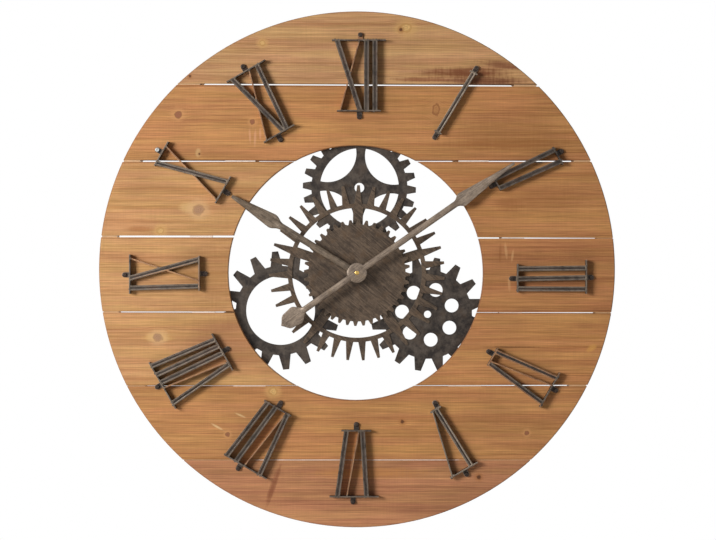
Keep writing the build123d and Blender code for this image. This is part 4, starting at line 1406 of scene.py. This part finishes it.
@dataclass
class Screws:
    """All screws: pan heads on the numerals and gears, countersunk ones at the back.

    A profile is pairs of a share of the head's radius and a depth: a share of its height on a pan head, and
    metres on a flat one.
    """

    cross_share: float = 0.55
    slot_share: float = 0.14
    pan_profile: tuple = ((0.72, 0.0), (0.86, 0.1), (0.96, 0.34), (1.0, 0.66), (0.97, 0.97))
    pan_recess_share: float = 0.6
    pan_shank: float = 0.0015
    numeral_head: Point = (0.0036, 0.0024)
    gear_head: Point = (0.0032, 0.002)
    neck_share: float = 1.3
    point_share: float = 1.5
    flat_radius: float = 0.004
    flat_profile: tuple = ((0.9, 0.0001), (0.97, 0.0002), (0.96, 0.0004))
    flat_recess: float = 0.0016
    flat_shank: float = 0.002
    flat_point: float = 0.004
    bare_screw: Point = (-0.3088, 0.1906)
    bare_reach: float = 0.02

    def places(self, node: str) -> list[tuple]:
        """Where each screw of a node stands.

        Args:
            node: The node's name.

        Returns:
            For each screw X, Z, and its least and greatest depth.
        """
        found, source = [], Shape.of_node(node)
        for group in source.islands():
            low = Vector([min(vertex.co[axis] for vertex in group) for axis in range(3)])
            high = Vector([max(vertex.co[axis] for vertex in group) for axis in range(3)])
            middle = (low + high) / 2
            found.append((middle.x, middle.z, -high.y, -low.y))
        return sorted(found)

    def pan(self, node: str, name: str, head: Point, front: bool, finish: Finish) -> None:
        """Pan head screws, all on one node, and zinc ones at the bare place.

        Args:
            node: The node that they stand for.
            name: The piece's name.
            head: Radius and height of the head.
            front: Whether the heads face the front.
            finish: Their finish.
        """
        draw, shape = random.Random(len(name)), Shape()
        (radius, height), shank, way = head, self.pan_shank, -1 if front else 1
        for x, z, back, reach in self.places(node):
            top, point = (reach, back) if front else (back, reach)
            rings = [(radius * part, top + way * height * drop) for part, drop in self.pan_profile]
            body = [(shank * self.neck_share, top + way * height),
                    (shank, top + way * height * self.neck_share),
                    (shank, point - way * shank * self.point_share), (0, point)]
            recess = (radius * self.cross_share, radius * self.slot_share,
                      top + way * height * self.pan_recess_share)
            before = len(shape.bm.faces)
            shape.cross_head((x, z), rings, recess, body, draw.uniform(0, math.pi))
            shape.bm.faces.ensure_lookup_table()
            if math.hypot(x - self.bare_screw[0], z - self.bare_screw[1]) < self.bare_reach:
                for face in shape.bm.faces[before:]:
                    face.material_index = 1
        shape.piece(name, BODY_DIAL, finish, finish.name, node, second=ZINC_STEEL)

    def flat(self, node: str, name: str) -> None:
        """Countersunk screws, driven from the back, all on one node.

        Args:
            node: The node that they stand for.
            name: The piece's name.
        """
        draw, shape = random.Random(len(node)), Shape()
        radius, shank = self.flat_radius, self.flat_shank
        for x, z, top, point in self.places(node):
            rings = [(radius * part, top + drop) for part, drop in self.flat_profile]
            body = [(shank, top + radius - shank), (shank, point - self.flat_point), (0, point)]
            recess = (radius * self.cross_share, radius * self.slot_share, top + self.flat_recess)
            shape.cross_head((x, z), rings, recess, body, draw.uniform(0, math.pi))
        shape.piece(name, BODY_DIAL, ZINC_STEEL, "zinc_steel", node)

    def build(self) -> None:
        """Make the four sets of screws."""
        self.pan("numeral_screws", "numeral_pan_screws", self.numeral_head, True, SCREW_STEEL)
        self.pan("gear_screws", "gear_pan_screws", self.gear_head, False, ZINC_STEEL)
        self.flat("board_screws", "board_flat_screws")
        self.flat("hanger_screws", "hanger_flat_screws")


@dataclass
class Hand:
    """One hand: a half-round stem with flat blades, lofted along its own length, and a domed boss.

    A station is a distance from the arbor, negative on the tail, and the half width there. The boss's
    shoulder is pairs of a share of its radius and a rise above its front, and its dome a share of each.
    """

    name: str
    body: str
    angle: float
    back: float
    crown: float
    half_stem: float
    stations: tuple
    bend: float
    finish: IronFinish
    boss_radius: float
    boss_height: float
    boss_rise: float = 0.0009
    boss_edge: float = 0.0004
    boss_foot: float = 0.96
    boss_shoulder: tuple = ((0.97, -0.0001), (0.8, 0.0004))
    boss_dome: tuple[float, float] = (0.5, 0.75)
    boss_faces: int = 64
    sheet: float = 0.0015
    edge_share: float = 0.55
    roll_share: float = 0.25
    ridge_share: float = 1.05
    least_half: float = 0.0003
    rubbed: float = 0.8
    bend_steps: int = 8
    columns: int = 8
    step: float = 0.0015

    def half_width(self, along: float) -> float:
        """Half width at a distance from the arbor, with its corners bent smooth.

        Args:
            along: Distance from the arbor, negative on the tail.

        Returns:
            The half width.
        """
        total, count = 0.0, self.bend_steps
        for index in range(-count, count + 1):
            spot = along + self.bend * index / count
            spot = min(max(spot, self.stations[0][0]), self.stations[-1][0])
            for (start, first), (end, second) in zip(self.stations, self.stations[1:]):
                if start <= spot <= end:
                    total += first + (second - first) * (spot - start) / (end - start)
                    break
        return total / (2 * count + 1)

    def surface(self, across: float, half: float) -> float:
        """Depth of the hand's front at a place.

        Args:
            across: Share of the half width, from -1 to 1.
            half: Half width there.

        Returns:
            The depth out from the wall.
        """
        edge = min(1.0, self.half_stem / half)
        roll = self.roll_share * edge
        round_over = 1 - max(0.0, (abs(across) - (1 - roll)) / roll) ** 2
        offset = across * half / (self.half_stem * self.ridge_share)
        ridge = math.sqrt(max(0.0, 1 - offset ** 2)) * edge ** 2
        flat = self.sheet * (self.edge_share + (1 - self.edge_share) * math.sqrt(max(0.0, round_over)))
        return self.back + flat + (self.crown - self.sheet) * ridge

    def build(self) -> None:
        """Loft the stem and blades and set the boss on them."""
        shape = Shape()
        start, end = self.stations[0][0], self.stations[-1][0]
        count = round((end - start) / self.step)
        rings = []
        for index in range(count + 1):
            along = start + (end - start) * index / count
            half = max(self.half_width(along), self.least_half)
            ring = []
            for column in range(-self.columns, self.columns + 1):
                across = math.sin(math.pi / 2 * column / self.columns)
                ring.append(self.vertex(shape, along, across * half, self.surface(across, half)))
            ring += [self.vertex(shape, along, side * half, self.back) for side in (1, 0, -1)]
            rings.append(ring)
        for number, face in enumerate(shape.loft(rings)[:-2]):
            column = number % len(rings[0])
            face[shape.worn] = self.rubbed if column in (0, 2 * self.columns - 1) else 0.0
        radius, front, edge = self.boss_radius, self.back + self.boss_height, self.boss_edge
        shoulder = [(radius * share, front + rise) for share, rise in self.boss_shoulder]
        dome = (radius * self.boss_dome[0], front + self.boss_rise * self.boss_dome[1])
        profile = [(0, self.back), (radius * self.boss_foot, self.back), (radius, self.back + edge),
                   (radius, front - edge), *shoulder, dome, (0, front + self.boss_rise)]
        shape.lathe((0, 0), profile, self.boss_faces)
        shape.piece(f"{self.name}_formed", self.body, self.finish, "hand_metal", self.name)

    def vertex(self, shape: Shape, along: float, across: float, depth: float) -> bmesh.types.BMVert:
        """New vertex at a place on the hand, turned to the hand's angle."""
        sine, cosine = math.sin(self.angle), math.cos(self.angle)
        return shape.bm.verts.new((along * cosine - across * sine, -depth, along * sine + across * cosine))


def hands() -> list[Hand]:
    """The two hands, with the part's own outlines.

    Returns:
        The short hand and the long one.
    """
    short, short_stem = 0.227, 0.0052
    hour = Hand("hour_hand", "hour", angle=math.radians(148.5), back=0.039, crown=0.0040, half_stem=short_stem,
                stations=((0.0, short_stem), (0.617 * short, short_stem), (0.668 * short, 0.052 * short),
                          (short, 0.011 * short)),
                bend=0.004, finish=SHADED_HOUR_METAL, boss_radius=0.0158, boss_height=0.0034)
    long, tail, long_stem = 0.296, 0.142, 0.00485
    minute = Hand("minute_hand", "minute", angle=math.radians(34.9), back=0.049, crown=0.0035,
                  half_stem=long_stem,
                  stations=((-tail, 0.0), (-0.94 * tail, 0.085 * tail), (-0.79 * tail, 0.108 * tail),
                            (-0.711 * tail, long_stem), (0.636 * long, long_stem),
                            (0.662 * long, 0.0385 * long), (0.856 * long, 0.0179 * long),
                            (0.914 * long, 0.0128 * long), (long, 0.0063 * long)),
                  bend=0.003, finish=LIT_MINUTE_METAL, boss_radius=0.0150, boss_height=0.0030)
    return [hour, minute]


@dataclass
class Movement:
    """The battery movement, its cell, its clamping stack and the hub's nut.

    The nut's profile is radii and depths. The cell's ends are shares of its radius and distances from its
    lowest and its highest X.
    """

    edge: float = 0.0004
    fine_edge: float = 0.0002
    nut_profile: tuple = ((0, 0.0506), (0.0044, 0.0506), (0.0046, 0.0508), (0.0046, 0.0516),
                          (0.0044, 0.0519), (0.0036, 0.0527), (0.0022, 0.0532), (0, 0.05345))
    nut_faces: int = 40
    cell_low: tuple = ((0, 0.0), (0.62, 0.0), (0.7, 0.0003), (0.9, 0.0003), (1, 0.0012))
    cell_high: tuple = ((1, 0.0024), (0.9, 0.0016), (0.8, 0.0014), (0.42, 0.0012), (0.38, 0.0001), (0, 0.0))

    def build(self) -> None:
        """Soften the moulded and turned pieces, and dress the rest."""
        soft = {"movement_case": CASE_PLASTIC, "movement_cover": CASE_PLASTIC, "setting_knob": CASE_PLASTIC,
                "hanger_plate": ZINC_STEEL, "hex_nut": BRASS, "brass_washer": BRASS}
        for node, finish in soft.items():
            width = self.fine_edge if node in ("setting_knob", "brass_washer") else self.edge
            body = "setting" if node == "setting_knob" else BODY_DIAL
            Shape.of_node(node).soften(width).piece(f"{node}_eased", body, finish, finish.name, node)
        rest = {"movement_bushing": BRASS, "rubber_washer": RUBBER, "circuit_board": CIRCUIT,
                "quartz_crystal": NICKEL, "motor_stator": NICKEL, "motor_coil": COPPER,
                "contact_plus": NICKEL, "contact_minus": NICKEL, "hour_wheel": WHEEL_PLASTIC,
                "minute_arbor": BRASS, "setting_wheel": WHEEL_PLASTIC}
        for node, finish in rest.items():
            dress(node, finish)
        self.nut()
        self.cell()

    def nut(self) -> None:
        """Domed brass nut on the end of the minute arbor."""
        shape = Shape()
        shape.lathe((0, 0), self.nut_profile, self.nut_faces)
        shape.piece("minute_nut_domed", "minute", BRASS, "brass", "minute_nut")

    def cell(self) -> None:
        """Cell with rolled ends and a button, on its side in the bay."""
        low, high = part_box("battery")
        middle = (low + high) / 2
        radius = (high.z - low.z) / 2
        profile = [(radius * share, low.x + rise) for share, rise in self.cell_low]
        profile += [(radius * share, high.x - drop) for share, drop in self.cell_high]
        shape = Shape()
        shape.lathe((0, 0), profile)
        turn = Matrix.Rotation(math.pi / 2, 3, "Z")
        for vertex in shape.bm.verts:
            spot = turn @ vertex.co
            vertex.co = Vector((spot.x, middle.y + spot.y, middle.z + spot.z))
        shape.piece("battery_sleeved", "cell", CELL_SLEEVE, "cell_sleeve", "battery")


@dataclass
class Studio:
    """Pale floor, soft lamps, white surroundings and the photograph's camera."""

    floor_height: float = -0.75
    floor_size: float = 4.0
    floor_cloud: Grain = Grain((3, 3, 3))
    floor_colours: tuple[str, str] = ("EFEEEC", "F4F3F1")
    key_place: tuple = (-2.35, -2.35, 0.55)
    key_size: float = 1.1
    key_power: float = 97.0
    fill_place: tuple = (1.0, -3.2, -0.2)
    fill_size: float = 2.4
    fill_power: float = 2.5
    back_place: tuple = (1.6, 2.6, 0.9)
    back_power: float = 45.0
    ambient: float = 0.045
    bounce: tuple = (1.0, 0.72, 0.55)
    camera_place: tuple = (0.00155, -3.034, 0.0045)
    sensor: float = 36.0
    lens: float = 97.3

    def lamp(self, name: str, place: tuple, size: float, power: float) -> None:
        """Square soft lamp that looks at the dial.

        Args:
            name: Its name.
            place: Where it stands.
            size: Length of its side.
            power: Its power in watts.
        """
        data = bpy.data.lights.new(name, "AREA")
        data.size, data.energy = size, power
        lamp = placed(name, data)
        lamp.location = place
        lamp.rotation_euler = (-Vector(place)).to_track_quat("-Z", "Y").to_euler()

    def surroundings(self) -> None:
        """World that is white to the eye and in reflections, and a soft light on everything else."""
        world = bpy.data.worlds.new("studio")
        bpy.context.scene.world = world
        world.use_nodes = True
        nodes, links = world.node_tree.nodes, world.node_tree.links
        path = nodes.new("ShaderNodeLightPath").outputs
        white = path["Is Camera Ray"]
        for ray in ("Is Glossy Ray", "Is Transmission Ray"):
            either = nodes.new("ShaderNodeMath")
            either.operation, either.use_clamp = "ADD", True
            links.new(white, either.inputs[0])
            links.new(path[ray], either.inputs[1])
            white = either.outputs[0]
        colour = nodes.new("ShaderNodeMix")
        colour.data_type = "RGBA"
        colour.inputs[6].default_value = [part * self.ambient for part in self.bounce] + [1.0]
        colour.inputs[7].default_value = (1, 1, 1, 1)
        links.new(white, colour.inputs[0])
        links.new(colour.outputs[2], nodes["Background"].inputs[0])
        nodes["Background"].inputs[1].default_value = 1.0

    def floor(self) -> None:
        """Plain pale floor with a soft, barely uneven surface."""
        mesh = bpy.data.meshes.new("floor")
        half = self.floor_size / 2
        mesh.from_pydata([(-half, -half, 0), (half, -half, 0), (half, half, 0), (-half, half, 0)], [],
                         [(0, 1, 2, 3)])
        floor = placed("floor", mesh)
        floor.location.z = self.floor_height
        graph = Graph("floor_paint")
        colour = graph.mix(graph.grain(self.floor_cloud), *self.floor_colours)
        floor.data.materials.append(graph.finish(colour, rough=0.8))

    def camera(self) -> None:
        """Camera that looks straight at the dial."""
        data = bpy.data.cameras.new("camera")
        data.lens, data.sensor_width = self.lens, self.sensor
        camera = placed("camera", data)
        camera.location = self.camera_place
        camera.rotation_euler = (math.pi / 2, 0, 0)
        bpy.context.scene.camera = camera

    def build(self) -> None:
        """Set up the whole studio."""
        bpy.context.scene.view_settings.view_transform = "Standard"
        self.camera()
        self.surroundings()
        self.floor()
        self.lamp("key", self.key_place, self.key_size, self.key_power)
        self.lamp("fill", self.fill_place, self.fill_size, self.fill_power)
        self.lamp("back", self.back_place, self.fill_size, self.back_power)


def main() -> None:
    """Build the clock piece by piece, then the studio."""
    logging.basicConfig(level=logging.INFO, format="%(name)s: %(message)s")
    assemblies = [Planking(), Filler(), Ironwork(), Numerals(), Screws(), *hands(), Movement(), Studio()]
    for assembly in assemblies:
        log.info("building %s", type(assembly).__name__)
        assembly.build()


if __name__ == "__main__":
    main()
